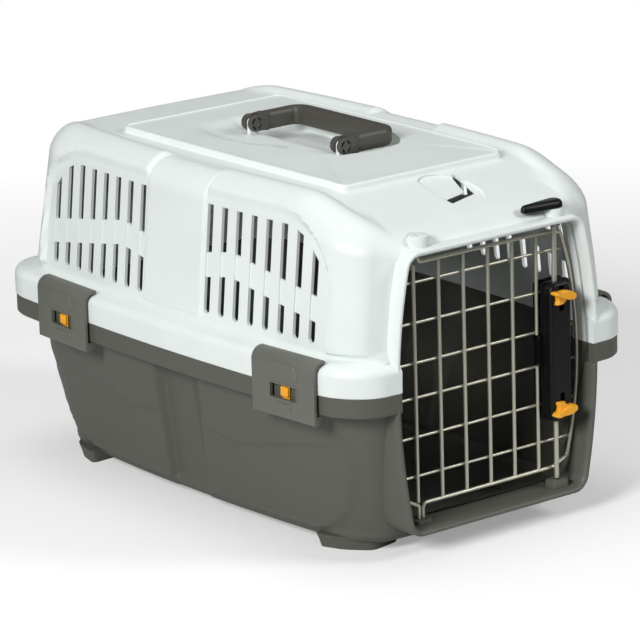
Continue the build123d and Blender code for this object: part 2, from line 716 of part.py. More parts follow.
# Door lock: cover in front of the wires, plate behind them, four screws, two sprung bolts
cover_back = door_y - frame_wire_radius - weld_gap
flange_front = cover_back - flange_thickness
cover_front_face = cover_back - cover_depth
plate_front = cross_y + cross_radius + weld_gap
plate_back = plate_front + back_plate_thickness
stop_top = rod_inner_top - spring_length
stop_bottom = rod_inner_bottom + spring_length
chamber_radius = rod_radius + collar_thickness + stem_clearance
spring_bore = spring_radius + spring_wire_radius + stem_clearance
screw_places = [(x, z) for x in screw_xs for z in screw_heights]
tabs = [
    ("upper", upper_tab_height, upper_tab_height - stem_height / 2 - bolt_back_travel,
     upper_tab_height + stem_height / 2 + bolt_out_travel),
    ("lower", lower_tab_height, lower_tab_height - stem_height / 2 - bolt_out_travel,
     lower_tab_height + stem_height / 2 + bolt_back_travel),
]
with BuildPart() as lock_cover:
    with BuildSketch(Plane.XZ.offset(-cover_back)):
        with Locations(((flange_left + flange_right) / 2, (cover_bottom + cover_top) / 2)):
            RectangleRounded(flange_right - flange_left, cover_top - cover_bottom, 4)
        with Locations(((bump_left + flange_right) / 2, (bump_bottom + bump_top) / 2)):
            RectangleRounded(flange_right - bump_left, bump_top - bump_bottom, 4)
    extrude(amount=flange_thickness)
    with BuildSketch(Plane.XZ.offset(-cover_back)):
        with Locations(((cover_left + cover_right) / 2, (cover_bottom + cover_top) / 2)):
            RectangleRounded(cover_right - cover_left, cover_top - cover_bottom, 8)
    extrude(amount=cover_depth)
    fillet(faces().sort_by(Axis.Y)[0].edges(), 3)
    with BuildSketch(Plane.XZ.offset(-plate_front)):
        with Locations(*screw_places):
            Circle(screw_boss_radius)
    extrude(amount=plate_front - cover_back)
    with BuildSketch(Plane.XZ.offset(-plate_front)):
        with Locations(*screw_places):
            Circle(screw_radius + weld_gap)
    extrude(amount=plate_front - flange_front - flange_thickness / 2, mode=Mode.SUBTRACT)
    for start, end in ((stop_top, cover_top), (stop_bottom, cover_bottom)):
        with BuildSketch(Plane.XY.offset(start)):
            with Locations((rod_x, rod_y)):
                Circle(rod_radius + rod_clearance)
        extrude(amount=end - start, mode=Mode.SUBTRACT)
        with BuildSketch(Plane.XY.offset(start)):
            with Locations((rod_x, rod_y)):
                Circle(spring_bore)
        spring_room = spring_length + bolt_out_travel
        extrude(amount=spring_room if end > start else -spring_room, mode=Mode.SUBTRACT)
    for name, height, low, high in tabs:
        with BuildSketch(Plane.XY.offset(low - stem_clearance)):
            with Locations((rod_x, rod_y)):
                Circle(chamber_radius)
                Rectangle(stem_width + 2 * stem_clearance, 2 * cover_depth, align=(Align.CENTER, Align.MAX))
        extrude(amount=high - low + 2 * stem_clearance, mode=Mode.SUBTRACT)
lock_cover.part.label = "lock_cover"
export_step(lock_cover.part, "parts/lock_cover.step")

with BuildPart() as lock_back_plate:
    with BuildSketch(Plane.XZ.offset(-plate_back)):
        with Locations(((flange_left + flange_right) / 2, (cover_bottom + cover_top) / 2)):
            RectangleRounded(flange_right - flange_left, cover_top - cover_bottom, 4)
        with Locations(*screw_places):
            Circle(screw_radius + weld_gap, mode=Mode.SUBTRACT)
    extrude(amount=back_plate_thickness)
lock_back_plate.part.label = "lock_back_plate"
export_step(lock_back_plate.part, "parts/lock_back_plate.step")

with BuildPart() as lock_screws:
    with BuildSketch(Plane.XZ.offset(-plate_back)):
        with Locations(*screw_places):
            Circle(screw_radius)
    extrude(amount=plate_back - flange_front - flange_thickness / 2 - weld_gap)
    with BuildSketch(Plane.XZ.offset(-plate_back - screw_head_height)):
        with Locations(*screw_places):
            Circle(screw_head_radius)
    extrude(amount=screw_head_height)
lock_screws.part.label = "lock_screws"
export_step(lock_screws.part, "parts/lock_screws.step")

bolt_spans = [
    ("upper_bolt", rod_inner_top, head_bottom - rod_release_gap),
    ("lower_bolt", rod_inner_bottom, lug_height + rod_release_gap),
]
for name, inner, tip in bolt_spans:
    with BuildPart() as bolt:
        with BuildSketch(Plane.XY.offset(inner)):
            with Locations((rod_x, rod_y)):
                Circle(rod_radius)
        extrude(amount=tip - inner)
        chamfer(edges().sort_by(Axis.Z)[-1 if tip > inner else 0], rod_radius / 4)
    bolt.part.label = name
    export_step(bolt.part, f"parts/{name}.step")

for name, low in (("upper_bolt_spring", stop_top), ("lower_bolt_spring", rod_inner_bottom)):
    with BuildPart() as spring:
        coil_height = spring_length - 2 * spring_wire_radius - 2 * weld_gap
        with BuildLine() as coil:
            Helix(coil_height / spring_turns, coil_height, spring_radius,
                  center=(rod_x, rod_y, low + spring_wire_radius + weld_gap))
        with BuildSketch(Plane(origin=coil.line @ 0, z_dir=coil.line % 0)):
            Circle(spring_wire_radius)
        sweep()
    spring.part.label = name
    export_step(spring.part, f"parts/{name}.step")

for name, height, low, high in tabs:
    flip = 1 if name == "lower" else -1
    with BuildPart() as thumb_tab:
        with BuildSketch(Plane.XY.offset(height - stem_height / 2)):
            with Locations((rod_x, rod_y)):
                Circle(rod_radius + collar_thickness)
                Rectangle(stem_width, rod_y - cover_front_face + 2 * stem_clearance,
                          align=(Align.CENTER, Align.MAX))
                Circle(rod_radius + weld_gap, mode=Mode.SUBTRACT)
        extrude(amount=stem_height)
        with BuildSketch(Plane.XZ.offset(-cover_front_face + stem_clearance)):
            with BuildLine():
                wing = [(-0.5, 0.02), (-0.4, 0.34), (-0.3, 0.34), (-0.04, 0.12), (0.34, -0.08), (0.5, -0.1),
                        (0.5, -0.28), (0.1, -0.36), (-0.36, -0.2)]
                Polyline(*[(rod_x + x * tab_width, height + flip * z * tab_width) for x, z in wing], close=True)
            make_face()
            fillet(vertices(), tab_width / 24)
        extrude(amount=tab_projection)
        fillet(faces().sort_by(Axis.Y)[0].edges(), tab_width / 24)
    thumb_tab.part.label = f"{name}_thumb_tab"
    export_step(thumb_tab.part, f"parts/{name}_thumb_tab.step")

# Side clips and their sliding locks
clip_outer = clip_stand_off + clip_wall
clip_bottom = clip_axis_height - clip_knuckle_radius
for name, side, end in corners:
    with BuildPart() as clip:
        with BuildSketch(clip_plane(side, end)):
            with Locations(((clip_stand_off - clip_hook_reach + clip_outer) / 2, (clip_bottom + clip_top) / 2)):
                Rectangle(clip_outer - clip_stand_off + clip_hook_reach, clip_top - clip_bottom)
            fillet(vertices().group_by(Axis.Y)[-1].sort_by(Axis.X)[-1], clip_corner_radius)
            inner_height = clip_top - clip_wall - clip_bottom
            with Locations((clip_stand_off - clip_hook_reach + clip_lip_width, clip_bottom + inner_height / 2)):
                Rectangle(clip_hook_reach - clip_lip_width, inner_height, align=(Align.MIN, Align.CENTER),
                          mode=Mode.SUBTRACT)
            with Locations((clip_stand_off - clip_hook_reach, clip_bottom)):
                Rectangle(clip_lip_width, seam_height + upper_rim_height + clip_lip_gap - clip_bottom,
                          align=(Align.MIN, Align.MIN), mode=Mode.SUBTRACT)
            with Locations((-clip_axis_depth, clip_bottom)):
                Rectangle(clip_axis_depth + clip_stand_off, 1.5 * clip_knuckle_radius,
                          align=(Align.MIN, Align.MIN))
            with Locations((-clip_axis_depth, clip_axis_height)):
                Circle(clip_knuckle_radius)
                Circle(clip_bar_radius + clip_bar_clearance, mode=Mode.SUBTRACT)
        extrude(amount=clip_width / 2, both=True)
        for lug_place in (-clip_lug_offset, clip_lug_offset):
            slot_width_here = clip_lug_width + 2 * clip_side_gap
            with BuildSketch(clip_plane(side, end).offset(lug_place - slot_width_here / 2)):
                with Locations((clip_stand_off - clip_side_gap, clip_axis_height)):
                    Rectangle(3 * clip_lug_radius, 3 * clip_lug_radius, align=(Align.MAX, Align.CENTER))
            extrude(amount=slot_width_here, mode=Mode.SUBTRACT)
        with BuildSketch(clip_face_plane(side, end, clip_outer)):
            with Locations((0, window_centre_height)):
                RectangleRounded(window_width, window_height, 1.5)
        extrude(amount=-2 * clip_wall, mode=Mode.SUBTRACT)
        with BuildSketch(clip_face_plane(side, end, clip_outer)):
            with Locations((0, embossed_pad_centre)):
                RectangleRounded(embossed_pad_width, embossed_pad_height, embossed_pad_height / 2.5)
        extrude(amount=embossed_pad_rise)
    clip.part.label = f"clip_{name}"
    export_step(clip.part, f"parts/clip_{name}.step")

    with BuildPart() as slider:
        plate_face = clip_stand_off - stem_clearance
        with BuildSketch(clip_face_plane(side, end, plate_face)):
            with Locations((0, window_centre_height)):
                RectangleRounded(button_width + 2 * plate_overlap, window_height + 2 * plate_overlap, 1)
        extrude(amount=-plate_thickness)
        with BuildSketch(clip_face_plane(side, end, plate_face)):
            with Locations((0, window_centre_height)):
                RectangleRounded(button_width, button_height, 1.5)
        extrude(amount=clip_outer + button_proud - plate_face)
    slider.part.label = f"slider_{name}"
    export_step(slider.part, f"parts/slider_{name}.step")
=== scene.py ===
"""Scene of a plastic pet carrier: a pale cover on a dark tub, with a wire door, handle and side clips.

Lengths are millimetres until a mesh is made. The door faces -Y, and +Z is up.
"""
from __future__ import annotations

import logging
from collections.abc import Callable, Iterable, Sequence
from dataclasses import astuple, dataclass, field, replace
from enum import Enum
from math import asin, atan2, cos, hypot, pi, radians, sin, sqrt

import bmesh
import bpy
import numpy as np
from mathutils import Matrix, Vector

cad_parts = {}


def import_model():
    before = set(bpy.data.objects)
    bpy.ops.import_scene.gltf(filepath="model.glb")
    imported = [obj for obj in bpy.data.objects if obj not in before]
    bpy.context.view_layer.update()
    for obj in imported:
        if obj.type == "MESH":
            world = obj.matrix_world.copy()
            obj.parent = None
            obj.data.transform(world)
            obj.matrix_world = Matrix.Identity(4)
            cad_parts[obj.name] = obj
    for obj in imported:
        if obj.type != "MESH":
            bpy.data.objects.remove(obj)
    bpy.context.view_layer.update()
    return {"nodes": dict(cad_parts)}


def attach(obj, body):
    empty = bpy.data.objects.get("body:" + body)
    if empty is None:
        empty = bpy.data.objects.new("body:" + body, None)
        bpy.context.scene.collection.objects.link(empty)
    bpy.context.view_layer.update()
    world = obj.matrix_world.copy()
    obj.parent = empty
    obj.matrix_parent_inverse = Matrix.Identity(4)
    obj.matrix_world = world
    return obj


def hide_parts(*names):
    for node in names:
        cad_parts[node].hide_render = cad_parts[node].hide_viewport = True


LOG = logging.getLogger("pet_carrier")
MM = 0.001
WHITE = (1.0, 1.0, 1.0, 1.0)

Point = tuple[float, float]
Place = tuple[float, float, float]
Placer = Callable[[float, float, float], Place]
Color = tuple[float, float, float, float]
Rows = list[np.ndarray]
Link = tuple[bpy.types.Node, int | str, bpy.types.Node, int | str]

# Centres that several pieces share: ROD and HINGE are seen from above, PIVOT from the front,
# CLIP_AXIS from a clip's end and LOCK_MIDDLE from outside a clip
ROD: Point = (79.0, -258.2)
SHAFT_BORE = 5.7
HINGE: Point = (-77.7, -252.0)
HINGE_BORE = 4.75
PIVOT: Point = (-14.0, 333.0)
CLIP_AXIS: Point = (-2.4, 136.6)
LOCK_MIDDLE: Point = (0.0, 156.5)


class Part(Enum):
    """Which of the two shells a piece belongs to."""

    TUB = "tub"
    COVER = "cover"


class Slot(Enum):
    """Material slots of the record."""

    TUB = "tub_plastic"
    COVER = "cover_plastic"
    HANDLE = "handle_plastic"
    CLIP = "clip_plastic"
    BLACK = "black_plastic"
    YELLOW = "yellow_plastic"
    WIRE = "door_wire"
    STEEL = "steel"


def linear(red: int, green: int, blue: int) -> Color:
    """Turn a display colour into linear light.

    Args:
        red: Red from 0 to 255.
        green: Green from 0 to 255.
        blue: Blue from 0 to 255.

    Returns:
        The linear colour with full opacity.
    """
    shares = [value / 255 for value in (red, green, blue)]
    light = [share / 12.92 if share <= 0.04045 else ((share + 0.055) / 1.055) ** 2.4 for share in shares]
    return (light[0], light[1], light[2], 1.0)


def smooth(value: float, low: float, high: float) -> float:
    """Ease from 0 at low to 1 at high."""
    share = min(max((value - low) / (high - low), 0.0), 1.0)
    return share * share * (3 - 2 * share)


@dataclass(frozen=True)
class Finish:
    """Look of one moulded or metal surface."""

    slot: Slot
    color: Color
    roughness: float
    metallic: float = 0.0
    grain_height: float = 0.00004
    grain_scale: float = 900.0
    mottle: float = 0.04
    specular: float = 0.5

    def build(self) -> bpy.types.Material:
        """Make the procedural material.

        Returns:
            The finished material.
        """
        material = bpy.data.materials.new(self.slot.value)
        material.use_nodes = True
        material.diffuse_color = self.color
        tree = material.node_tree
        shader = tree.nodes["Principled BSDF"]
        shader.inputs["Metallic"].default_value = self.metallic
        shader.inputs["Specular IOR Level"].default_value = self.specular
        grain = add_node(tree, "Group")
        grain.node_tree = surface_group()
        for name, value in (("Color", self.color), ("Scale", self.grain_scale), ("Mottle", self.mottle),
                            ("Roughness", self.roughness), ("Height", self.grain_height)):
            grain.inputs[name].default_value = value
        connect(tree, [(grain, "Color", shader, "Base Color"), (grain, "Roughness", shader, "Roughness"),
                       (grain, "Normal", shader, "Normal")])
        return material


def add_node(tree: bpy.types.NodeTree, kind: str, operation: str = "", **values: float) -> bpy.types.Node:
    """Add a shader node.

    Args:
        tree: The node tree.
        kind: The node's type, without its ShaderNode prefix.
        operation: What a maths node does.
        values: Input values; an underscore in a name stands for a space.

    Returns:
        The node.
    """
    node = tree.nodes.new(f"ShaderNode{kind}")
    if operation:
        node.operation = operation
    for name, value in values.items():
        node.inputs[name.replace("_", " ")].default_value = value
    return node


def connect(tree: bpy.types.NodeTree, links: Iterable[Link]) -> None:
    """Join nodes, each link given as (node, output, node, input)."""
    for start, output, end, socket in links:
        tree.links.new(start.outputs[output], end.inputs[socket])


def surface_group() -> bpy.types.ShaderNodeTree:
    """Make or fetch the shared surface: fine grain, faint mottling and uneven sheen.

    Returns:
        The node group, with colour, roughness and normal outputs.
    """
    name = "moulded_surface"
    if name in bpy.data.node_groups:
        return bpy.data.node_groups[name]
    group = bpy.data.node_groups.new(name, "ShaderNodeTree")
    inputs = {"Color": "Color", "Scale": "Float", "Mottle": "Float", "Roughness": "Float", "Height": "Float"}
    outputs = {"Color": "Color", "Roughness": "Float", "Normal": "Vector"}
    for way, sockets in (("INPUT", inputs), ("OUTPUT", outputs)):
        for socket, kind in sockets.items():
            group.interface.new_socket(socket, in_out=way, socket_type=f"NodeSocket{kind}")
    given = group.nodes.new("NodeGroupInput")
    result = group.nodes.new("NodeGroupOutput")
    place = add_node(group, "TexCoord")
    fine = add_node(group, "TexNoise", Detail=3.0)
    broad = add_node(group, "TexNoise", Scale=22.0, Detail=4.0)
    speck = add_node(group, "Math", "ADD")
    tone = add_node(group, "MapRange", From_Min=0.6, From_Max=1.4, To_Max=1.0)
    darker = add_node(group, "Math", "SUBTRACT")
    darker.inputs[0].default_value = 1.0
    tint = add_node(group, "VectorMath", "SCALE")
    sheen = add_node(group, "Math", "MULTIPLY_ADD")
    sheen.inputs[1].default_value = 0.12
    bump = add_node(group, "Bump", Strength=0.6)
    connect(group, [
        (place, "Object", fine, "Vector"), (place, "Object", broad, "Vector"),
        (given, "Scale", fine, "Scale"), (fine, "Fac", speck, 0), (broad, "Fac", speck, 1),
        (speck, 0, tone, "Value"),
        (given, "Mottle", darker, 1), (darker, 0, tone, "To Min"), (given, "Color", tint, 0),
        (tone, "Result", tint, "Scale"), (tint, "Vector", result, "Color"), (broad, "Fac", sheen, 0),
        (given, "Roughness", sheen, 2), (sheen, 0, result, "Roughness"), (fine, "Fac", bump, "Height"),
        (given, "Height", bump, "Distance"), (bump, "Normal", result, "Normal")])
    return group


FINISHES = (
    Finish(Slot.TUB, linear(88, 89, 81), 0.45, grain_height=0.00006, mottle=0.1),
    Finish(Slot.COVER, linear(230, 237, 234), 0.38, mottle=0.06, grain_height=0.00005),
    Finish(Slot.HANDLE, linear(74, 72, 66), 0.4, grain_height=0.00006),
    Finish(Slot.CLIP, linear(102, 104, 96), 0.42, mottle=0.08),
    Finish(Slot.BLACK, linear(10, 10, 11), 0.36, specular=0.3),
    Finish(Slot.YELLOW, linear(244, 172, 44), 0.35, mottle=0.05),
    Finish(Slot.WIRE, linear(205, 203, 186), 0.34, metallic=0.75, grain_height=0.00001, mottle=0.08),
    Finish(Slot.STEEL, linear(200, 200, 198), 0.3, metallic=1.0, grain_height=0.00001),
)


@dataclass(frozen=True)
class Studio:
    """Floor, backdrop, lamps, world and camera, in metres."""

    lens: float = 236.0
    sensor: float = 36.0
    position: Place = (-2.344087, -2.996168, 1.212178)
    right: Place = (0.78089, -0.62405, -0.02782)
    up: Place = (0.18895, 0.19351, 0.96273)
    ahead: Place = (0.59541, 0.75704, -0.26903)
    aim: Place = (0.0, 0.0, 0.15)
    floor_half: float = 30.0

    def build(self) -> None:
        """Set the whole stage up."""
        self.floor()
        self.world()
        self.lamp("key", (-2.8, -1.1, 1.7), 1.0, 92.0)
        self.lamp("top", (-0.1, 0.2, 3.0), 1.6, 20.0)
        self.lamp("front", (1.7, -2.3, 2.0), 0.9, 40.0)
        self.camera()
        bpy.context.scene.view_settings.view_transform = "Standard"

    def camera(self) -> None:
        """Place the camera that matches the picture."""
        data = bpy.data.cameras.new("camera")
        data.lens = self.lens
        data.sensor_width = self.sensor
        data.clip_end = 100.0
        camera = bpy.data.objects.new("camera", data)
        axes = Matrix((self.right, self.up, [-value for value in self.ahead])).transposed()
        camera.matrix_world = Matrix.Translation(self.position) @ axes.to_4x4()
        bpy.context.scene.collection.objects.link(camera)
        bpy.context.scene.camera = camera

    def lamp(self, name: str, place: Place, size: float, power: float) -> None:
        """Add a soft lamp aimed at the carrier.

        Args:
            name: The lamp's name.
            place: Where it stands, in metres.
            size: Its edge length, in metres.
            power: Its power, in watts.
        """
        data = bpy.data.lights.new(name, "AREA")
        data.size = size
        data.energy = power
        lamp = bpy.data.objects.new(name, data)
        lamp.location = place
        aim = Vector(self.aim) - Vector(place)
        lamp.rotation_euler = aim.to_track_quat("-Z", "Y").to_euler()
        bpy.context.scene.collection.objects.link(lamp)

    def world(self) -> None:
        """Make a soft grey light that the camera sees as white."""
        world = bpy.data.worlds.new("world")
        world.use_nodes = True
        tree = world.node_tree
        background = tree.nodes["Background"]
        background.inputs["Color"].default_value = WHITE
        rays = add_node(tree, "LightPath")
        seen = add_node(tree, "Math", "MAXIMUM")
        strength = add_node(tree, "MapRange", To_Min=0.13, To_Max=1.0)
        connect(tree, [(rays, "Is Camera Ray", seen, 0), (rays, "Is Transmission Ray", seen, 1),
                       (seen, 0, strength, "Value"), (strength, "Result", background, "Strength")])
        bpy.context.scene.world = world

    def floor(self) -> None:
        """Lay a wide white floor that keeps the carrier's shadow and fades to plain white further out."""
        mesh = bpy.data.meshes.new("floor")
        half = self.floor_half
        mesh.from_pydata([(-half, -half, 0), (half, -half, 0), (half, half, 0), (-half, half, 0)], [],
                         [(0, 1, 2, 3)])
        floor = bpy.data.objects.new("floor", mesh)
        material = bpy.data.materials.new("floor_white")
        material.use_nodes = True
        tree = material.node_tree
        shader = tree.nodes["Principled BSDF"]
        for name, value in (("Base Color", (0.72, 0.72, 0.72, 1.0)), ("Roughness", 0.9),
                            ("Specular IOR Level", 0.0), ("Emission Color", WHITE)):
            shader.inputs[name].default_value = value
        rays = add_node(tree, "LightPath")
        glow = add_node(tree, "Math", "MULTIPLY")
        glow.inputs[1].default_value = 0.3
        place = add_node(tree, "TexCoord")
        reach = add_node(tree, "VectorMath", "LENGTH")
        far = add_node(tree, "MapRange", From_Min=0.6, From_Max=1.3)
        plain = add_node(tree, "Emission")
        mix = add_node(tree, "MixShader")
        connect(tree, [(rays, "Is Camera Ray", glow, 0), (glow, 0, shader, "Emission Strength"),
                       (rays, "Is Camera Ray", plain, "Strength"), (place, "Object", reach, 0),
                       (reach, "Value", far, "Value"), (far, "Result", mix, 0), (shader, 0, mix, 1),
                       (plain, 0, mix, 2), (mix, 0, tree.nodes["Material Output"], "Surface")])
        mesh.materials.append(material)
        bpy.context.scene.collection.objects.link(floor)


@dataclass(frozen=True)
class Plan:
    """Bowed rounded rectangle seen from above; front and rear are distances from Y = 0."""

    half_width: float
    front: float
    rear: float
    radius: float = 50.0
    side_bow: float = 13.5
    end_bow: float = 4.3

    side_steps = 250
    end_steps = 60
    corner_steps = 16

    def shrunk(self, by: float) -> Plan:
        """Draw every edge in by a distance."""
        return replace(self, half_width=self.half_width - by, front=self.front - by, rear=self.rear - by,
                       radius=max(self.radius - by, 2.0))

    def blended(self, other: Plan, share: float) -> Plan:
        """Mix with another outline; a share of 1 gives the other."""
        return Plan(*(start + (end - start) * share for start, end in zip(astuple(self), astuple(other))))

    def points(self) -> tuple[np.ndarray, np.ndarray]:
        """Walk round the outline anticlockwise.

        Returns:
            The points, and the sideways part of the outward direction at each.
        """
        places: list[Point] = []
        sides: list[float] = []
        inner_x = self.half_width - self.radius
        corners = ((1, -self.front, -1, -pi / 2), (1, self.rear, 1, 0.0), (-1, self.rear, 1, pi / 2),
                   (-1, -self.front, -1, pi))
        for number, (across, end_y, along, start) in enumerate(corners):
            middle = (across * inner_x, end_y - along * self.radius)
            for step in range(self.corner_steps):
                angle = start + pi / 2 * step / self.corner_steps
                places.append((middle[0] + self.radius * cos(angle), middle[1] + self.radius * sin(angle)))
                sides.append(cos(angle))
            following = corners[(number + 1) % 4]
            target = (following[0] * inner_x, following[1] - following[2] * self.radius)
            last = start + pi / 2
            steps = self.side_steps if number % 2 == 0 else self.end_steps
            offset = (self.radius * cos(last), self.radius * sin(last))
            for step in range(steps):
                share = step / steps
                places.append((middle[0] + (target[0] - middle[0]) * share + offset[0],
                               middle[1] + (target[1] - middle[1]) * share + offset[1]))
                sides.append(cos(last))
        half_length = (self.front + self.rear) / 2
        centre_y = (self.rear - self.front) / 2
        bowed = []
        for (x, y), side in zip(places, sides):
            drawn_x = x - side * self.side_bow * min(abs((y - centre_y) / half_length), 1.0) ** 2
            drop = self.end_bow * (x / self.half_width) ** 2 * sqrt(max(0.0, 1 - side * side))
            bowed.append((drawn_x, y - drop if y > centre_y else y + drop))
        return np.array(bowed), np.array(sides)


def make_object(name: str, vertices: Iterable, faces: Iterable, angle: float = 32.0) -> bpy.types.Object:
    """Make a closed mesh from points in millimetres, with outward normals and smooth shading.

    Args:
        name: The object's name.
        vertices: Its points.
        faces: Its faces as point numbers.
        angle: Edges sharper than this, in degrees, stay sharp.

    Returns:
        The object, linked to the scene.
    """
    mesh = bpy.data.meshes.new(name)
    mesh.from_pydata([tuple(float(value) * MM for value in point) for point in vertices], [],
                     [tuple(face) for face in faces])
    work = bmesh.new()
    work.from_mesh(mesh)
    bmesh.ops.recalc_face_normals(work, faces=work.faces)
    work.to_mesh(mesh)
    work.free()
    item = bpy.data.objects.new(name, mesh)
    bpy.context.scene.collection.objects.link(item)
    shade(item, angle)
    return item


def shade(item: bpy.types.Object, angle: float = 32.0) -> None:
    """Shade smooth except across sharp edges."""
    item.data.shade_smooth()
    item.data.set_sharp_from_angle(angle=radians(angle))


def loft(name: str, rows: Rows, closed: bool = False, angle: float = 32.0) -> bpy.types.Object:
    """Skin rings of equal length into a closed body.

    Args:
        name: The object's name.
        rows: The rings, each an array of points.
        closed: Whether the last ring joins the first; otherwise both ends are capped.
        angle: The sharp edge angle, in degrees.

    Returns:
        The object.
    """
    count = len(rows[0])
    faces: list[tuple[int, ...]] = []
    spans = len(rows) if closed else len(rows) - 1
    for row in range(spans):
        below = row * count
        above = ((row + 1) % len(rows)) * count
        for place in range(count):
            after = (place + 1) % count
            faces.append((below + place, below + after, above + after, above + place))
    if not closed:
        faces.append(tuple(range(count)))
        faces.append(tuple(range((len(rows) - 1) * count, len(rows) * count)))
    return make_object(name, np.concatenate(rows), faces, angle)


def stacked(name: str, layers: Iterable[tuple[Sequence[Point], float]], place: Placer, closed: bool = False,
            angle: float = 32.0) -> bpy.types.Object:
    """Skin outlines that lie at given depths."""
    rows = [np.array([place(across, up, depth) for across, up in outline]) for outline, depth in layers]
    return loft(name, rows, closed, angle)


def prism(name: str, outline: Sequence[Point], low: float, high: float, place: Placer) -> bpy.types.Object:
    """Extrude an outline between two depths, placed as stacked layers are."""
    return stacked(name, ((outline, low), (outline, high)), place)


def joined(name: str, items: list[bpy.types.Object]) -> bpy.types.Object:
    """Join objects into one.

    Args:
        name: The joined object's name.
        items: The objects.

    Returns:
        The joined object.
    """
    work = bmesh.new()
    for item in items:
        work.from_mesh(item.data)
    mesh = bpy.data.meshes.new(name)
    work.to_mesh(mesh)
    work.free()
    for item in items:
        drop(item)
    result = bpy.data.objects.new(name, mesh)
    bpy.context.scene.collection.objects.link(result)
    shade(result)
    return result


def drop(item: bpy.types.Object) -> None:
    """Remove an object and its mesh.

    Args:
        item: The object.
    """
    mesh = item.data
    bpy.data.objects.remove(item)
    bpy.data.meshes.remove(mesh)


def carve(item: bpy.types.Object, tools: list[bpy.types.Object]) -> None:
    """Cut bodies out of another, then remove them.

    Args:
        item: The body that is changed.
        tools: Bodies that don't overlap one another.
    """
    tool = joined("tool", tools)
    change = item.modifiers.new("carve", "BOOLEAN")
    change.solver = "MANIFOLD"
    change.operation = "DIFFERENCE"
    change.object = tool
    apply_modifiers(item)
    drop(tool)
    shade(item)


def apply_modifiers(item: bpy.types.Object) -> None:
    """Bake an object's modifiers into its mesh.

    Args:
        item: The object.
    """
    bpy.context.view_layer.update()
    graph = bpy.context.evaluated_depsgraph_get()
    mesh = bpy.data.meshes.new_from_object(item.evaluated_get(graph))
    old = item.data
    item.modifiers.clear()
    item.data = mesh
    mesh.name = item.name
    bpy.data.meshes.remove(old)


def rounded(item: bpy.types.Object, width: float, steps: int = 3) -> bpy.types.Object:
    """Round an object's sharp edges.

    Args:
        item: The object.
        width: The rounding, in millimetres.
        steps: Segments of the rounding.

    Returns:
        The same object.
    """
    bevel = item.modifiers.new("bevel", "BEVEL")
    bevel.width = width * MM
    bevel.segments = steps
    bevel.limit_method = "ANGLE"
    bevel.angle_limit = radians(35)
    apply_modifiers(item)
    shade(item)
    return item


def arc(middle: Point, radius: float, start: float, end: float, count: int) -> list[Point]:
    """Draw an arc between two angles in radians."""
    return [(middle[0] + radius * cos(angle), middle[1] + radius * sin(angle))
            for angle in np.linspace(start, end, count)]


def disc(radius: float, middle: Point = (0.0, 0.0), steps: int = 40) -> list[Point]:
    """Draw a circle."""
    return arc(middle, radius, 0.0, 2 * pi, steps + 1)[:-1]


def rectangle(width: float, height: float, middle: Point = (0.0, 0.0)) -> list[Point]:
    """Draw a rectangle."""
    return [(middle[0] + across * width / 2, middle[1] + up * height / 2)
            for across, up in ((-1, -1), (1, -1), (1, 1), (-1, 1))]


def upright(x: float, y: float, z: float) -> Place:
    """Place a plan outline at a height."""
    return (x, y, z)


def facing_front(x: float, z: float, y: float) -> Place:
    """Place an outline drawn from the front at a distance along the carrier."""
    return (x, y, z)


def facing_side(y: float, z: float, x: float) -> Place:
    """Place an outline drawn from the side at a distance across the carrier."""
    return (x, y, z)


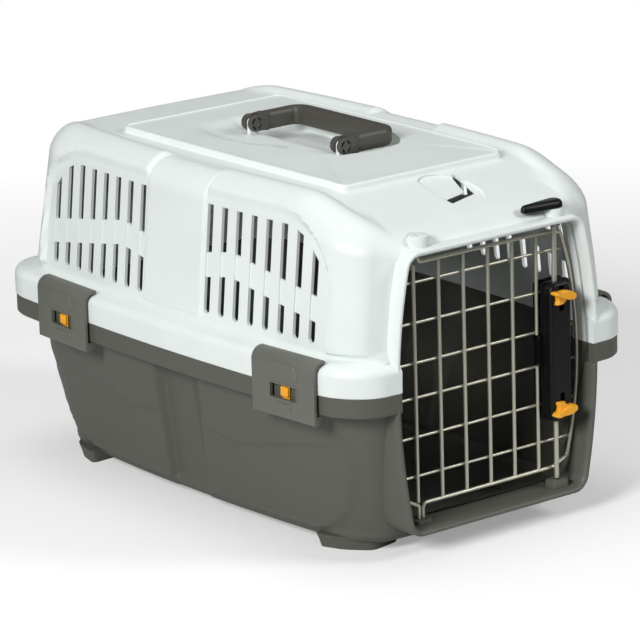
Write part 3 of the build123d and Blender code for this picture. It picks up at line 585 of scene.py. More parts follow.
@dataclass(frozen=True)
class Doorway:
    """Barrel-shaped door opening and the portal round it."""

    bottom: float = 26.0
    top: float = 281.0
    bottom_half_width: float = 98.0
    middle_half_width: float = 113.0
    top_half_width: float = 97.0
    corner: float = 11.0
    seam: float = 160.0

    def half_width(self, height: float) -> float:
        """Half width of the opening at a height.

        Args:
            height: The height.

        Returns:
            The half width.
        """
        end = self.bottom_half_width if height < self.seam else self.top_half_width
        span = self.seam - self.bottom if height < self.seam else self.top - self.seam
        return self.middle_half_width - (self.middle_half_width - end) * ((height - self.seam) / span) ** 2

    def corner_angle(self, part: Part) -> float:
        """Lean of the side's outward direction at the end of a shell's share of it.

        Args:
            part: The shell.

        Returns:
            The angle above the horizon, in radians.
        """
        end = self.bottom_half_width if part is Part.TUB else self.top_half_width
        span = self.seam - self.bottom if part is Part.TUB else self.top - self.seam
        lean = atan2(2 * (self.middle_half_width - end), span)
        return -lean if part is Part.TUB else lean

    def half_outline(self, part: Part, grow: float) -> list[Point]:
        """Draw one shell's share of the opening, from the right seam to the left.

        Args:
            part: The shell.
            grow: Distance outwards from the opening.

        Returns:
            The points, seen from the front.
        """
        steps = 24
        down = part is Part.TUB
        end_height = self.bottom + self.corner if down else self.top - self.corner
        angle = self.corner_angle(part)
        right = []
        for step in range(steps + 1):
            share = step / steps
            height = self.seam + (end_height - self.seam) * share
            lean = angle * share
            right.append((self.half_width(height) + grow * cos(lean), height + grow * sin(lean)))
        reach = self.corner + grow
        middle = (self.half_width(end_height) - self.corner * cos(angle),
                  end_height - self.corner * sin(angle))
        right += arc(middle, reach, angle, -pi / 2 if down else pi / 2, 13)[1:]
        straight = right[-1][0]
        across = [(straight * (1 - 2 * step / 10), right[-1][1]) for step in range(1, 10)]
        left = [(-x, z) for x, z in reversed(right)]
        return right + across + left

    def outline(self, grow: float) -> list[Point]:
        """Draw the whole opening.

        Args:
            grow: Distance outwards from the opening.

        Returns:
            The closed outline.
        """
        low = self.half_outline(Part.TUB, grow)
        high = self.half_outline(Part.COVER, grow)
        return low[:-1] + list(reversed(high))[:-1]

    def portal(self, part: Part, rear: float) -> bpy.types.Object:
        """Make the raised surround of one shell.

        Args:
            part: The shell.
            rear: How far back the surround reaches.

        Returns:
            The surround.
        """
        profile = [(0.0, rear), (0.0, -266.0), (0.5, -269.6), (1.6, -272.0), (3.0, -272.9), (4.4, -272.9),
                   (5.4, -272.0), (6.0, -270.4), (6.4, -264.0), (6.4, rear)]
        ways = [self.half_outline(part, grow) for grow, _ in profile]
        rows = [np.array([(ways[number][step][0], y, ways[number][step][1])
                          for number, (_, y) in enumerate(profile)]) for step in range(len(ways[0]))]
        portal = loft(f"door_portal_{part.value}", rows, angle=40)
        if part is Part.COVER:
            carve(portal, [prism("bore", disc(SHAFT_BORE, ROD), 270.0, 300.0, upright), hinge_hole()])
        return portal


def hinge_hole() -> bpy.types.Object:
    """Make the cutter of the blind hole that the door's upper hinge pins turn in."""
    return prism("hinge_hole", disc(HINGE_BORE, HINGE), 270.0, 288.9, upright)


DOORWAY = Doorway()


@dataclass(frozen=True)
class VentWindow:
    """Two rows of slots under a raised brow, on each side of each half."""

    first_slot: float = 51.4
    pitch: float = 20.6
    width: float = 8.2
    count: int = 8
    bottom: float = 197.6
    top: float = 298.0
    band: float = 22.6
    inner: float = 44.5
    arch_start: float = 150.0
    arch_outer: float = 214.0
    arch_low: float = 246.0
    arch_top: float = 306.0

    def split(self, along: float) -> float:
        """Top of the lower row of slots.

        Args:
            along: Distance from the carrier's middle.

        Returns:
            The height.
        """
        peak_at = 83.0
        peak = 236.4
        return peak - 0.17 * (peak_at - along) if along < peak_at else peak - 0.172 * (along - peak_at)

    def crown(self, along: float) -> float:
        """Top of the upper row of slots."""
        return self.top - 22.0 * max(0.0, (along - 158.0) / 38.0) ** 2

    def brow_distance(self, along: float, height: float) -> float:
        """How far a point lies outside the arch.

        Args:
            along: Distance from the carrier's middle.
            height: Height.

        Returns:
            The distance, below zero inside.
        """
        if along > self.arch_start and height > self.arch_low:
            across = self.arch_outer - self.arch_start
            up = self.arch_top - self.arch_low
            reach = hypot((along - self.arch_start) / across, (height - self.arch_low) / up)
            return (reach - 1) * (across + up) / 2
        return max(height - self.arch_top, along - self.arch_outer)

    def slots(self) -> list[list[Point]]:
        """Draw the slots of one window.

        Returns:
            Outlines of (distance from the middle, height).
        """
        outlines = []
        for number in range(self.count):
            middle = self.first_slot + number * self.pitch
            left = middle - self.width / 2
            right = middle + self.width / 2
            foot = arc((middle, self.bottom + self.width / 2), self.width / 2, -pi, 0.0, 9)
            outlines.append(foot + [(right, self.split(right)), (left, self.split(left))])
            low_left = self.split(left) + self.band
            low_right = self.split(right) + self.band
            outlines.append([(left, low_left), (right, low_right), (right, self.crown(right)),
                             (left, self.crown(left))])
        return outlines

    def grooves(self) -> list[list[Point]]:
        """Draw the shallow grooves that join the two rows.

        Returns:
            Outlines of (distance from the middle, height).
        """
        outlines = []
        overlap = 1.0
        for number in range(self.count):
            left = self.first_slot + number * self.pitch - self.width / 2
            right = left + self.width
            outlines.append([(left, self.split(left) - overlap), (right, self.split(right) - overlap),
                             (right, self.split(right) + self.band + overlap),
                             (left, self.split(left) + self.band + overlap)])
        return outlines


WINDOW = VentWindow()


@dataclass
class Cover:
    """Upper shell."""

    wall: float = 3.0
    rim: Plan = field(default_factory=lambda: Plan(180.0, 275.0, 275.0))
    seam: float = 160.0
    wall_foot: float = 190.5
    shoulder_start: float = 298.0
    roof: float = 322.0
    panel_rise: float = 5.0
    squash_from: float = 230.0
    crest_y: float = -170.0
    slope_grade: float = 32.0 / 98.0
    brow: float = 6.5
    pillar: float = 1.9
    panel: Plan = field(default_factory=lambda: Plan(97.0, 173.5, 159.0, 10.0, 2.0, 0.0))
    recess_depth: float = 14.0
    recess_middle: Point = (8.0, 4.0)
    pivot_rise: float = 9.6
    corner_step: float = 3.0
    lever_floor: float = 291.7

    def wall_plan(self, height: float) -> Plan:
        """Outline of the wall at a height."""
        rise = height - self.seam
        return Plan(163.0 - 0.0988 * rise, 267.0 - 0.0309 * rise, 261.0 - 0.1235 * rise)

    def ceiling(self, along: float) -> float:
        """Height of the roof, which slopes down to the door.

        Args:
            along: Place along the carrier.

        Returns:
            The height.
        """
        slope = self.roof + (along - self.crest_y) * self.slope_grade
        blend = 2.0
        return -blend * np.logaddexp(-slope / blend, -self.roof / blend)

    def relief(self, along: float, height: float, strength: float) -> float:
        """How far the side stands out from the plane of the slots.

        Args:
            along: Place along the carrier.
            height: Height.
            strength: Share of the relief that is left, from 0 to 1.

        Returns:
            The distance outwards.
        """
        reach = abs(along)
        brow = smooth(WINDOW.brow_distance(reach, height), 0.0, 7.0)
        brow *= smooth(reach, WINDOW.inner - 1.0, WINDOW.inner + 4.0)
        pillar = 1 - smooth(reach, WINDOW.inner - 2.5, WINDOW.inner)
        return strength * (self.brow * brow + self.pillar * pillar * (1 - brow))

    def ring(self, plan: Plan, height: float, strength: float = 0.0, upward: float = 0.0) -> np.ndarray:
        """Place an outline, squash it under the sloping roof and add the side relief.

        Args:
            plan: The outline.
            height: Its height where the roof is level.
            strength: Share of the side relief.
            upward: Share of the relief that points up.

        Returns:
            The ring's points.
        """
        places, sides = plan.points()
        ring = []
        for (x, y), side in zip(places, sides):
            level = height
            if height > self.squash_from:
                share = (self.ceiling(y) - self.squash_from) / (self.roof - self.squash_from)
                level = self.squash_from + (height - self.squash_from) * share
            out = self.relief(y, level, strength) if strength else 0.0
            notch = 0.0
            if strength and y < 0:
                notch = self.corner_step * smooth(abs(side), 0.0, 0.25) * (1 - smooth(abs(side), 0.5, 0.62))
                notch *= strength * (1 - smooth(level, 282.0, 300.0))
            across = side * (out * (1 - upward) - notch)
            ring.append((x + across, y + notch * sqrt(1 - side * side), level + abs(side) * out * upward))
        return np.array(ring)

    def scoop(self, radii: Sequence[Point], depth: float, panel_ring: np.ndarray) -> np.ndarray:
        """Place a ring of the handle recess on the same bearings as the roof panel's ring.

        Args:
            radii: Outline of the recess.
            depth: How deep the ring lies below the panel.
            panel_ring: The ring of the panel that gives the bearings.

        Returns:
            The ring's points.
        """
        middle = self.recess_middle
        bearings = np.array([atan2(y - middle[1], x - middle[0]) for x, y in radii])
        reaches = np.array([hypot(x - middle[0], y - middle[1]) for x, y in radii])
        order = np.argsort(bearings)
        ring = []
        for x, y, _ in panel_ring:
            bearing = atan2(y - middle[1], x - middle[0])
            reach = float(np.interp(bearing, bearings[order], reaches[order], period=2 * pi))
            ring.append((middle[0] + reach * cos(bearing), middle[1] + reach * sin(bearing),
                         self.roof + self.panel_rise - depth))
        return np.array(ring)

    def bowl(self, brim: np.ndarray, floor: np.ndarray) -> Rows:
        """Sink the handle recess: its wall, then its floor, which rises towards the handle's pivots.

        Args:
            brim: The ring at the panel.
            floor: The ring where the wall meets the floor.

        Returns:
            The rings, from the brim to the middle.
        """
        middle = np.array([*self.recess_middle, 0.0])
        rows = []
        for step in range(1, 9):
            mixed = brim + (floor - brim) * step / 8
            rows.append(self.sunk(mixed, smooth(step / 8, -0.1, 1.0)))
        for share in (0.93, 0.84, 0.74, 0.63, 0.51, 0.38, 0.24, 0.1):
            rows.append(self.sunk(middle + (floor - middle) * share, 1.0))
        return rows

    def sunk(self, ring: np.ndarray, share: float) -> np.ndarray:
        """Lower a ring into the handle recess."""
        top = self.roof + self.panel_rise
        return np.array([(x, y, top - share * (self.recess_depth
                                               - self.pivot_rise * (1 - smooth(x, -13.0, 16.0))))
                         for x, y, _ in ring])

    def outer_rows(self) -> Rows:
        """Rings of the outside, from the seam up to the floor of the handle recess.

        Returns:
            The rings.
        """
        rows = [self.ring(self.rim.shrunk(0.7), self.seam), self.ring(self.rim, self.seam + 0.7),
                self.ring(self.rim, 177.5)]
        edge = 8.5
        for step in range(1, 7):
            angle = pi / 2 * step / 6
            rows.append(self.ring(self.rim.shrunk(edge * (1 - cos(angle))), 177.5 + edge * sin(angle)))
        foot = self.wall_plan(self.wall_foot)
        ledge = self.rim.shrunk(edge)
        for share, height in ((0.35, 187.0), (0.7, 188.2), (0.86, 189.0), (0.95, 190.0)):
            rows.append(self.ring(ledge.blended(foot, share), height))
        for height in np.linspace(self.wall_foot + 1.5, self.shoulder_start, 64):
            rows.append(self.ring(self.wall_plan(height), height, smooth(height, 190.5, 196.0)))
        bend = self.roof - self.shoulder_start
        top = self.wall_plan(self.shoulder_start)
        for step in range(1, 13):
            angle = pi / 2 * step / 12
            rows.append(self.ring(top.shrunk(bend * (1 - cos(angle))),
                                  self.shoulder_start + bend * sin(angle),
                                  1 - 0.3 * step / 12, sin(angle) ** 2))
        level = top.shrunk(bend)
        outer_panel = self.panel.shrunk(-1.5)
        for step in range(1, 8):
            share = step / 8
            rows.append(self.ring(level.blended(outer_panel, share), self.roof,
                                  0.7 * (1 - smooth(share, 0.0, 0.45)), 1.0))
        bead = ((-1.5, 0.0), (-0.8, 0.5), (-0.3, 2.2), (0.2, 4.4), (0.8, 5.7), (1.5, 6.1), (2.2, 5.8),
                (2.9, 5.2), (3.8, self.panel_rise))
        for shrink, lift in bead:
            rows.append(self.ring(self.panel.shrunk(shrink), self.roof + lift))
        return rows

    def build(self) -> bpy.types.Object:
        """Make the upper shell.

        Returns:
            The shell with its slots, doorway, recess and pockets.
        """
        rows = self.outer_rows()
        panel_ring = rows[-1]
        brim = self.scoop(self.recess_outline(), 0.0, panel_ring)
        for step in range(1, 6):
            share = step / 6
            rows.append(panel_ring * (1 - share) + brim * share)
        rows.append(brim)
        floor = self.scoop(self.recess_floor(), self.recess_depth, panel_ring)
        rows += self.bowl(brim, floor)
        under = floor - np.array([0.0, 0.0, self.wall])
        hub = rows[-1] - np.array([0.0, 0.0, self.pivot_rise + self.wall])
        inner_panel = self.panel.shrunk(6.0)
        inner = [hub, under, self.ring(inner_panel, self.roof - self.wall)]
        bend = self.roof - self.shoulder_start - self.wall
        top = self.wall_plan(self.shoulder_start).shrunk(self.wall)
        for step in range(8, -1, -1):
            angle = pi / 2 * step / 8
            inner.append(self.ring(top.shrunk(bend * (1 - cos(angle))),
                                   self.shoulder_start + bend * sin(angle)))
        for height in (260.0, 220.0, 190.0, self.seam):
            inner.append(self.ring(self.wall_plan(height).shrunk(self.wall), height))
        shell = loft("cover", rows + inner, closed=True)
        flatten(shell, len(rows), len(rows[0]))
        self.cut(shell)
        return shell

    def recess_outline(self) -> list[Point]:
        """Draw the brim of the handle recess, which widens towards the rear."""
        corners = [(-26.0, -84.0), (54.0, -84.0), (56.0, 20.0), (52.0, 98.0), (-38.0, 110.0), (-52.0, 98.0),
                   (-57.0, 42.0), (-38.0, -14.0), (-28.0, -50.0)]
        return rounded_outline(corners, 9.0)

    def recess_floor(self) -> list[Point]:
        """Draw the floor of the handle recess."""
        corners = [(-24.0, -81.5), (51.0, -81.5), (52.0, 20.0), (49.0, 71.0), (-34.0, 74.0), (-44.0, 66.0),
                   (-44.0, 38.0), (-31.0, -14.0), (-25.5, -50.0)]
        return rounded_outline(corners, 8.0)

    def cut(self, shell: bpy.types.Object) -> None:
        """Cut the doorway, the slots, the grooves and the pockets on the slope.

        Args:
            shell: The shell.
        """
        cutters = [prism("doorway", DOORWAY.outline(0.0), -300.0, -245.0, facing_front)]
        for side in (-1, 1):
            for end in (-1, 1):
                for outline in WINDOW.slots():
                    cutters.append(prism("slot", [(end * along, up) for along, up in outline], side * 120.0,
                                         side * 185.0, facing_side))
        carve(shell, cutters)
        carve(shell, [self.groove(side, end, outline) for side in (-1, 1) for end in (-1, 1)
                      for outline in WINDOW.grooves()])
        self.cut_pockets(shell)

    def groove(self, side: int, end: int, outline: list[Point]) -> bpy.types.Object:
        """Make the cutter of one shallow groove in the slot plane.

        Args:
            side: -1 or 1 across.
            end: -1 or 1 along.
            outline: The groove's outline.

        Returns:
            The cutter.
        """
        depth = 0.9
        rows = []
        for out in (-depth, 12.0):
            row = []
            for along, up in outline:
                plan = self.wall_plan(up)
                bow = plan.side_bow * (along / ((plan.front + plan.rear) / 2)) ** 2
                row.append((side * (plan.half_width - bow + out), end * along, up))
            rows.append(np.array(row))
        return loft("groove", rows)

    def on_slope(self, x: float, along: float, lift: float) -> Place:
        """Place a point above the sloping front of the roof.

        Args:
            x: Across.
            along: Place along the carrier.
            lift: Height above the slope, at right angles to it.

        Returns:
            The point.
        """
        lean = atan2(self.slope_grade, 1.0)
        height = self.roof + (along - self.crest_y) * self.slope_grade
        return (x, along - lift * sin(lean), height + lift * cos(lean))

    def cut_pockets(self, shell: bpy.types.Object) -> None:
        """Cut the tag recess with its bent slot, and the two pockets over the door.

        Args:
            shell: The shell.
        """
        eye = [(-16.0, -180.0), (-3.0, -174.0), (12.0, -176.0), (25.0, -186.0), (33.0, -203.0),
               (33.0, -217.0), (24.0, -230.0), (10.0, -236.0), (-3.0, -233.0), (-11.0, -222.0),
               (-15.0, -204.0)]
        bent = [(24.5, -181.0), (29.0, -185.0), (25.0, -214.0), (-11.0, -222.0), (-8.0, -214.0),
                (17.0, -209.0)]
        seat = 10.4
        pockets = [prism("pocket", outline, self.lever_floor, 330.0, upright)
                   for outline in (teardrop(seat, 4.4, 36.0, ROD), disc(seat, (-ROD[0], ROD[1])))]
        carve(shell, [prism("recess", rounded_outline(eye, 7.0), -2.2, 12.0, self.on_slope), *pockets])
        carve(shell, [prism("bent_slot", rounded_outline(bent, 1.2), -8.0, 8.0, self.on_slope),
                      prism("shaft", disc(SHAFT_BORE, ROD), 270.0, 296.0, upright), hinge_hole()])


def rounded_outline(corners: Sequence[Point], radius: float, inset: float = 0.0) -> list[Point]:
    """Round the corners of a polygon.

    Args:
        corners: Its corners, in order.
        radius: The rounding.
        inset: Moves the result towards the middle by about this distance.

    Returns:
        The rounded outline.
    """
    outline: list[Point] = []
    centre = np.mean(np.array(corners), axis=0)
    for number, corner in enumerate(corners):
        here = np.array(corner, float)
        before = np.array(corners[number - 1], float) - here
        after = np.array(corners[(number + 1) % len(corners)], float) - here
        back = min(radius, np.linalg.norm(before) * 0.45)
        ahead = min(radius, np.linalg.norm(after) * 0.45)
        start = here + before / np.linalg.norm(before) * back
        end = here + after / np.linalg.norm(after) * ahead
        for share in np.linspace(0, 1, 7):
            point = (1 - share) ** 2 * start + 2 * share * (1 - share) * here + share**2 * end
            towards = centre - point
            point = point + towards / np.linalg.norm(towards) * inset
            outline.append((float(point[0]), float(point[1])))
    return outline


def teardrop(radius: float, tip_radius: float, length: float, middle: Point) -> list[Point]:
    """Draw a teardrop with its round end on a point and its tip towards -X.

    Args:
        radius: Radius of the round end.
        tip_radius: Radius of the tip.
        length: Distance between the two centres.
        middle: Centre of the round end.

    Returns:
        The outline.
    """
    lean = asin((radius - tip_radius) / length)
    start = pi / 2 + lean
    tip = (middle[0] - length, middle[1])
    return arc(middle, radius, -start, start, 40) + arc(tip, tip_radius, start, 2 * pi - start, 16)


@dataclass
class Tub:
    """Lower shell."""

    wall: float = 3.0
    seam: float = 160.0
    rim: Plan = field(default_factory=lambda: Plan(179.4, 274.4, 274.4))
    rim_low: float = 141.6
    floor: float = 8.0
    base_edge: float = 12.0
    channel_depth: float = 10.0
    crease_depth: float = 2.0
    corner_depth: float = 5.0

    def wall_plan(self, height: float) -> Plan:
        """Outline of the wall at a height."""
        share = (height - self.floor) / (self.seam - self.floor)
        return Plan(141.0, 236.0, 238.0).blended(Plan(167.0, 267.0, 264.0), share)

    def relief(self, along: float, height: float) -> float:
        """How far the side lies in from the plane of the two big panels.

        Args:
            along: Place along the carrier.
            height: Height.

        Returns:
            The distance inwards.
        """
        rise = height / self.seam
        front_edge = -13.0 + 2.0 * rise
        front_top = -20.0 - 30.0 * rise
        rear_edge = 41.0 - 10.0 * rise
        channel = smooth(along, front_top, front_edge) * (1 - smooth(along, rear_edge - 7.0, rear_edge + 1.5))
        if along < 0:
            crease = float(np.interp(-along, (35.0, 79.0, 218.0), (89.0, 80.0, 110.0)))
            bulge = -along
        else:
            crease = float(np.interp(along, (41.0, 84.0, 135.0, 215.0), (89.0, 81.5, 97.0, 128.0)))
            bulge = along
        step = self.crease_depth * (1 - smooth(height, crease - 5.0, crease + 1.0))
        arc_middle = (164.0, 76.0)
        reach = 56.0
        if height < arc_middle[1] and bulge > arc_middle[0]:
            outside = hypot(bulge - arc_middle[0], height - arc_middle[1]) - reach
        else:
            outside = max(bulge - arc_middle[0] - reach, arc_middle[1] - reach - height)
        corner = self.corner_depth * smooth(outside, 0.0, 7.0)
        return max(self.channel_depth * channel, step * (1 - smooth(outside, 0.0, 3.0)) + corner)

    def ring(self, plan: Plan, height: float, strength: float = 0.0) -> np.ndarray:
        """Place an outline and add the side relief."""
        places, sides = plan.points()
        return np.array([(x - side * strength * (self.relief(y, height) if strength else 0.0), y, height)
                         for (x, y), side in zip(places, sides)])

    def build(self) -> bpy.types.Object:
        """Make the lower shell.

        Returns:
            The shell with its doorway.
        """
        rows = [self.ring(self.rim.shrunk(0.6), self.seam - 0.2), self.ring(self.rim, self.seam - 0.9),
                self.ring(self.rim, self.rim_low + 1.2), self.ring(self.rim.shrunk(1.2), self.rim_low),
                self.ring(self.wall_plan(self.rim_low).shrunk(-4.0), self.rim_low)]
        low = self.floor + self.base_edge
        for height in np.linspace(self.rim_low - 0.2, low, 46):
            rows.append(self.ring(self.wall_plan(height), height, 1.0))
        base = self.wall_plan(low)
        for step in range(1, 8):
            angle = pi / 2 * step / 7
            rows.append(self.ring(base.shrunk(self.base_edge * (1 - cos(angle))),
                                  low - self.base_edge * sin(angle), 1 - step / 8))
        inner = []
        floor_top = self.floor + self.wall
        curve = self.base_edge - self.wall
        inner_base = self.wall_plan(low).shrunk(self.wall)
        for step in range(6, -1, -1):
            angle = pi / 2 * step / 6
            inner.append(self.ring(inner_base.shrunk(curve * (1 - cos(angle))),
                                   floor_top + curve - curve * sin(angle), 1 - step / 7))
        for height in np.linspace(low + 2, self.seam - 0.2, 30):
            inner.append(self.ring(self.wall_plan(height).shrunk(self.wall), height, 1.0))
        shell = loft("tub", rows + inner, closed=True)
        flatten(shell, len(rows), len(rows[0]))
        carve(shell, [prism("doorway", DOORWAY.outline(0.0), -300.0, -229.0, facing_front)])
        return shell

    def feet(self) -> bpy.types.Object:
        """Make the four feet that follow the base's corners.

        Returns:
            The feet as one piece.
        """
        front = [(134.0, -174.5), (124.0, -199.0), (106.0, -219.0), (72.0, -213.0), (72.0, -176.0)]
        rear = [(138.0, 168.0), (130.0, 196.0), (106.0, 219.0), (72.0, 216.0), (72.0, 172.0)]
        feet = []
        for side in (-1, 1):
            for plan in (front, rear):
                corners = [(side * x, y) for x, y in plan]
                layers = [(rounded_outline(corners, 7.0, -grow), height)
                          for grow, height in ((0.0, 0.0), (2.0, self.floor * 0.8), (4.5, self.floor + 5.0))]
                feet.append(stacked("foot", layers, upright))
        return joined("feet", feet)


def flatten(shell: bpy.types.Object, outer_count: int, ring_size: int) -> None:
    """Swap the band between the last outside ring and the first inside ring for two flat faces.

    Args:
        shell: The shell.
        outer_count: Number of outside rings.
        ring_size: Points in a ring.
    """
    work = bmesh.new()
    work.from_mesh(shell.data)
    work.verts.ensure_lookup_table()
    first = (outer_count - 1) * ring_size
    upper = {work.verts[number] for number in range(first, first + ring_size)}
    lower = {work.verts[number] for number in range(first + ring_size, first + 2 * ring_size)}
    band = [face for face in work.faces
            if any(v in upper for v in face.verts) and any(v in lower for v in face.verts)]
    bmesh.ops.delete(work, geom=band, context="FACES_ONLY")
    work.verts.ensure_lookup_table()
    work.faces.new([work.verts[number] for number in range(first, first + ring_size)])
    work.faces.new([work.verts[number] for number in range(first + ring_size, first + 2 * ring_size)])
    bmesh.ops.recalc_face_normals(work, faces=work.faces)
    work.to_mesh(shell.data)
    work.free()
    shade(shell)


@dataclass(frozen=True)
class ClipPlace:
    """Where one side clip sits on the rim."""

    name: str
    side: int
    end: int
    along: float = 187.0
    half_width: float = 180.0
    half_length: float = 275.0
    bow: float = 13.5

    def facing(self, across: float, height: float, out: float) -> Place:
        """Place a point of an outline drawn from outside the clip.

        Args:
            across: Distance along the rim.
            height: Height.
            out: Distance outwards from the rim's face.

        Returns:
            The point.
        """
        turn = atan2(2 * self.bow * self.along, self.half_length**2)
        outward = (self.side * cos(turn), self.end * sin(turn))
        start = (self.side * (self.half_width - self.bow * (self.along / self.half_length) ** 2),
                 self.end * self.along)
        return (start[0] + outward[0] * out - outward[1] * across,
                start[1] + outward[1] * out + outward[0] * across, height)

    def sideways(self, out: float, height: float, across: float) -> Place:
        """Place a point of an outline drawn from the clip's end."""
        return self.facing(across, height, out)


@dataclass
class SideClip:
    """Hinged clip that hooks over the rim, with its sliding lock."""

    place: ClipPlace
    width: float = 82.0
    window: Point = (34.0, 13.0)
    frame_border: float = 3.0
    tab: float = 9.6

    def profile(self) -> list[Point]:
        """Draw the clip seen from its end.

        Returns:
            The outline of (out, height).
        """
        outer = 5.2
        inner = 2.2
        top = 190.5
        bend = 11.0
        thickness = 3.0
        middle = (outer - bend, top - bend)
        outline = [(outer, top - bend), *arc(middle, bend, 0.1, pi / 2, 9)]
        outline += [(-8.4, top), (-8.8, top - 0.6), (-8.8, 186.8), (-6.8, 186.4), (-6.8, top - thickness)]
        outline += arc(middle, bend - thickness, pi / 2, 0.0, 7)
        outline += [(inner, 141.0), (-1.0, 140.9), *arc(CLIP_AXIS, 4.2, radians(70), radians(270), 12)]
        return outline + [(inner + 1.0, 132.4), (4.8, 132.8), (outer, 134.5), (outer, 143.0)]

    def build(self) -> bpy.types.Object:
        """Make the clip.

        Returns:
            The clip.
        """
        half = self.width / 2
        name = f"clip_{self.place.name}_shape"
        body = rounded(prism(name, self.profile(), -half, half, self.place.sideways), 0.7, 2)
        carve(body, [prism("window", rectangle(*self.window, LOCK_MIDDLE), 0.0, 9.0, self.place.facing)])
        pads = [self.pad([(-21.0, 168.5), (-15.0, 183.0), (15.0, 183.0), (21.0, 168.5)], 5.0),
                self.pad(rectangle(20.0, 6.5, (0.0, 143.2)), 2.0)]
        return joined(name, [body, *pads, self.frame()])

    def pad(self, corners: Sequence[Point], radius: float) -> bpy.types.Object:
        """Make a low embossed pad on the clip's face.

        Args:
            corners: Its corners, seen from outside.
            radius: Their rounding.

        Returns:
            The pad.
        """
        outline = rounded_outline(corners, radius)
        small = rounded_outline(corners, radius, 0.7)
        return stacked("pad", ((outline, 4.6), (outline, 5.6), (small, 6.1)), self.place.facing)

    def frame(self) -> bpy.types.Object:
        """Make the thin frame round the lock's window.

        Returns:
            The frame.
        """
        width, height = self.window
        border = self.frame_border
        outer = rounded_outline(rectangle(width + border, height + border, LOCK_MIDDLE), 2.0)
        inner = rounded_outline(rectangle(width, height, LOCK_MIDDLE), 1.0)
        return stacked("frame", ((outer, 4.8), (outer, 5.5), (inner, 5.5), (inner, 4.8)), self.place.facing,
                       closed=True)

    def slider(self) -> bpy.types.Object:
        """Make the sliding lock.

        Returns:
            The slider.
        """
        facing = self.place.facing
        plate = rounded(prism("plate", rectangle(self.tab, 16.8, LOCK_MIDDLE), 0.5, 1.9, facing), 0.3, 2)
        button = rounded(prism("button", rectangle(self.tab, 9.0, LOCK_MIDDLE), 1.7, 4.2, facing), 0.9, 3)
        ribs = [rounded(prism("rib", rectangle(1.2, 6.0, (across, LOCK_MIDDLE[1])), 3.9, 4.6, facing),
                        0.25, 2) for across in (-2.5, 0.0, 2.5)]
        return joined(f"slider_{self.place.name}_shape", [plate, button, *ribs])


@dataclass
class Handle:
    """Folding carry handle, drawn folded down."""

    front: float = -80.0
    rear: float = 68.0
    outer_x: float = 50.0
    arm: float = 15.0
    bar: float = 17.0
    bend: float = 11.0

    def path(self) -> list[Point]:
        """Draw the middle line of the two arms and the bar, seen from above.

        Returns:
            The points, from the front pivot to the rear one.
        """
        bend = self.bend
        middle_x = self.outer_x - self.bar / 2
        low_y = self.front + self.arm / 2
        high_y = self.rear - self.arm / 2
        arm_x = (PIVOT[0] + 4.0, PIVOT[0] + 14.0, middle_x - bend - 8.0)
        bar_y = (low_y + 24.0, low_y + 34.0, (low_y + high_y) / 2, high_y - 34.0, high_y - 24.0)
        points = [(x, low_y) for x in arm_x] + arc((middle_x - bend, low_y + bend), bend, -pi / 2, 0.0, 9)
        points += [(middle_x, y) for y in bar_y]
        return points + arc((middle_x - bend, high_y - bend), bend, 0.0, pi / 2, 9) + [
            (x, high_y) for x in reversed(arm_x)]

    def build(self) -> bpy.types.Object:
        """Make the handle.

        Returns:
            The handle.
        """
        path = self.path()
        rows = []
        for number, (x, y) in enumerate(path):
            before = path[max(number - 1, 0)]
            after = path[min(number + 1, len(path) - 1)]
            along = np.array([after[0] - before[0], after[1] - before[1]])
            along = along / np.linalg.norm(along)
            across = np.array([along[1], -along[0]])
            grip = smooth(x, self.outer_x - self.bar - 6, self.outer_x - self.bar / 2)
            width = self.arm / 2 + (self.bar - self.arm) / 2 * grip - 1.0 * (1 - grip)
            section = super_section(width, 8.9, 0.5 + 0.1 * (1 - grip))
            rows.append(np.array([(x + across[0] * s, y + across[1] * s, PIVOT[1] + up)
                                  for s, up in section]))
        body = loft("handle_body", rows, angle=50)
        return joined("handle_shape", [body, self.end_cap(path[0][1]), self.end_cap(path[-1][1])])

    def end_cap(self, middle_y: float) -> bpy.types.Object:
        """Make the round, cored end of one arm: two cheeks astride the pivot tongue.

        Args:
            middle_y: Middle of the arm.

        Returns:
            The end.
        """
        gap = 2.45
        half = self.arm / 2
        core_depth = 2.0
        core_angle = 62
        x, z = PIVOT
        outline = arc(PIVOT, 7.8, radians(70), radians(290), 36) + [(x + 15.0, z - 8.3), (x + 15.0, z + 8.3)]
        cheeks = []
        for outside, low, high in ((-1, -half, -gap), (1, gap, half)):
            cheek = rounded(prism("cheek", outline, middle_y + low, middle_y + high, facing_front), 0.8, 2)
            face = middle_y + outside * half
            depth = outside * core_depth
            cores = []
            for start in (20, 110, 200, 290):
                first = radians(start)
                last = radians(start + core_angle)
                sector = arc(PIVOT, 6.2, first, last, 9) + arc(PIVOT, 3.8, last, first, 9)
                cores.append(prism("pocket", sector, face - depth, face + depth, facing_front))
            carve(cheek, cores)
            cheeks.append(cheek)
        return joined("end_cap", cheeks)


def super_section(half_width: float, half_height: float, power: float) -> list[Point]:
    """Draw a soft rectangle.

    Args:
        half_width: Half its width.
        half_height: Half its height.
        power: 1 gives an ellipse and less a squarer shape.

    Returns:
        The outline.
    """
    outline = []
    for angle in np.linspace(0, 2 * pi, 33)[:-1]:
        across = cos(angle)
        up = sin(angle)
        outline.append((half_width * np.sign(across) * abs(across) ** power,
                        half_height * np.sign(up) * abs(up) ** power))
    return outline


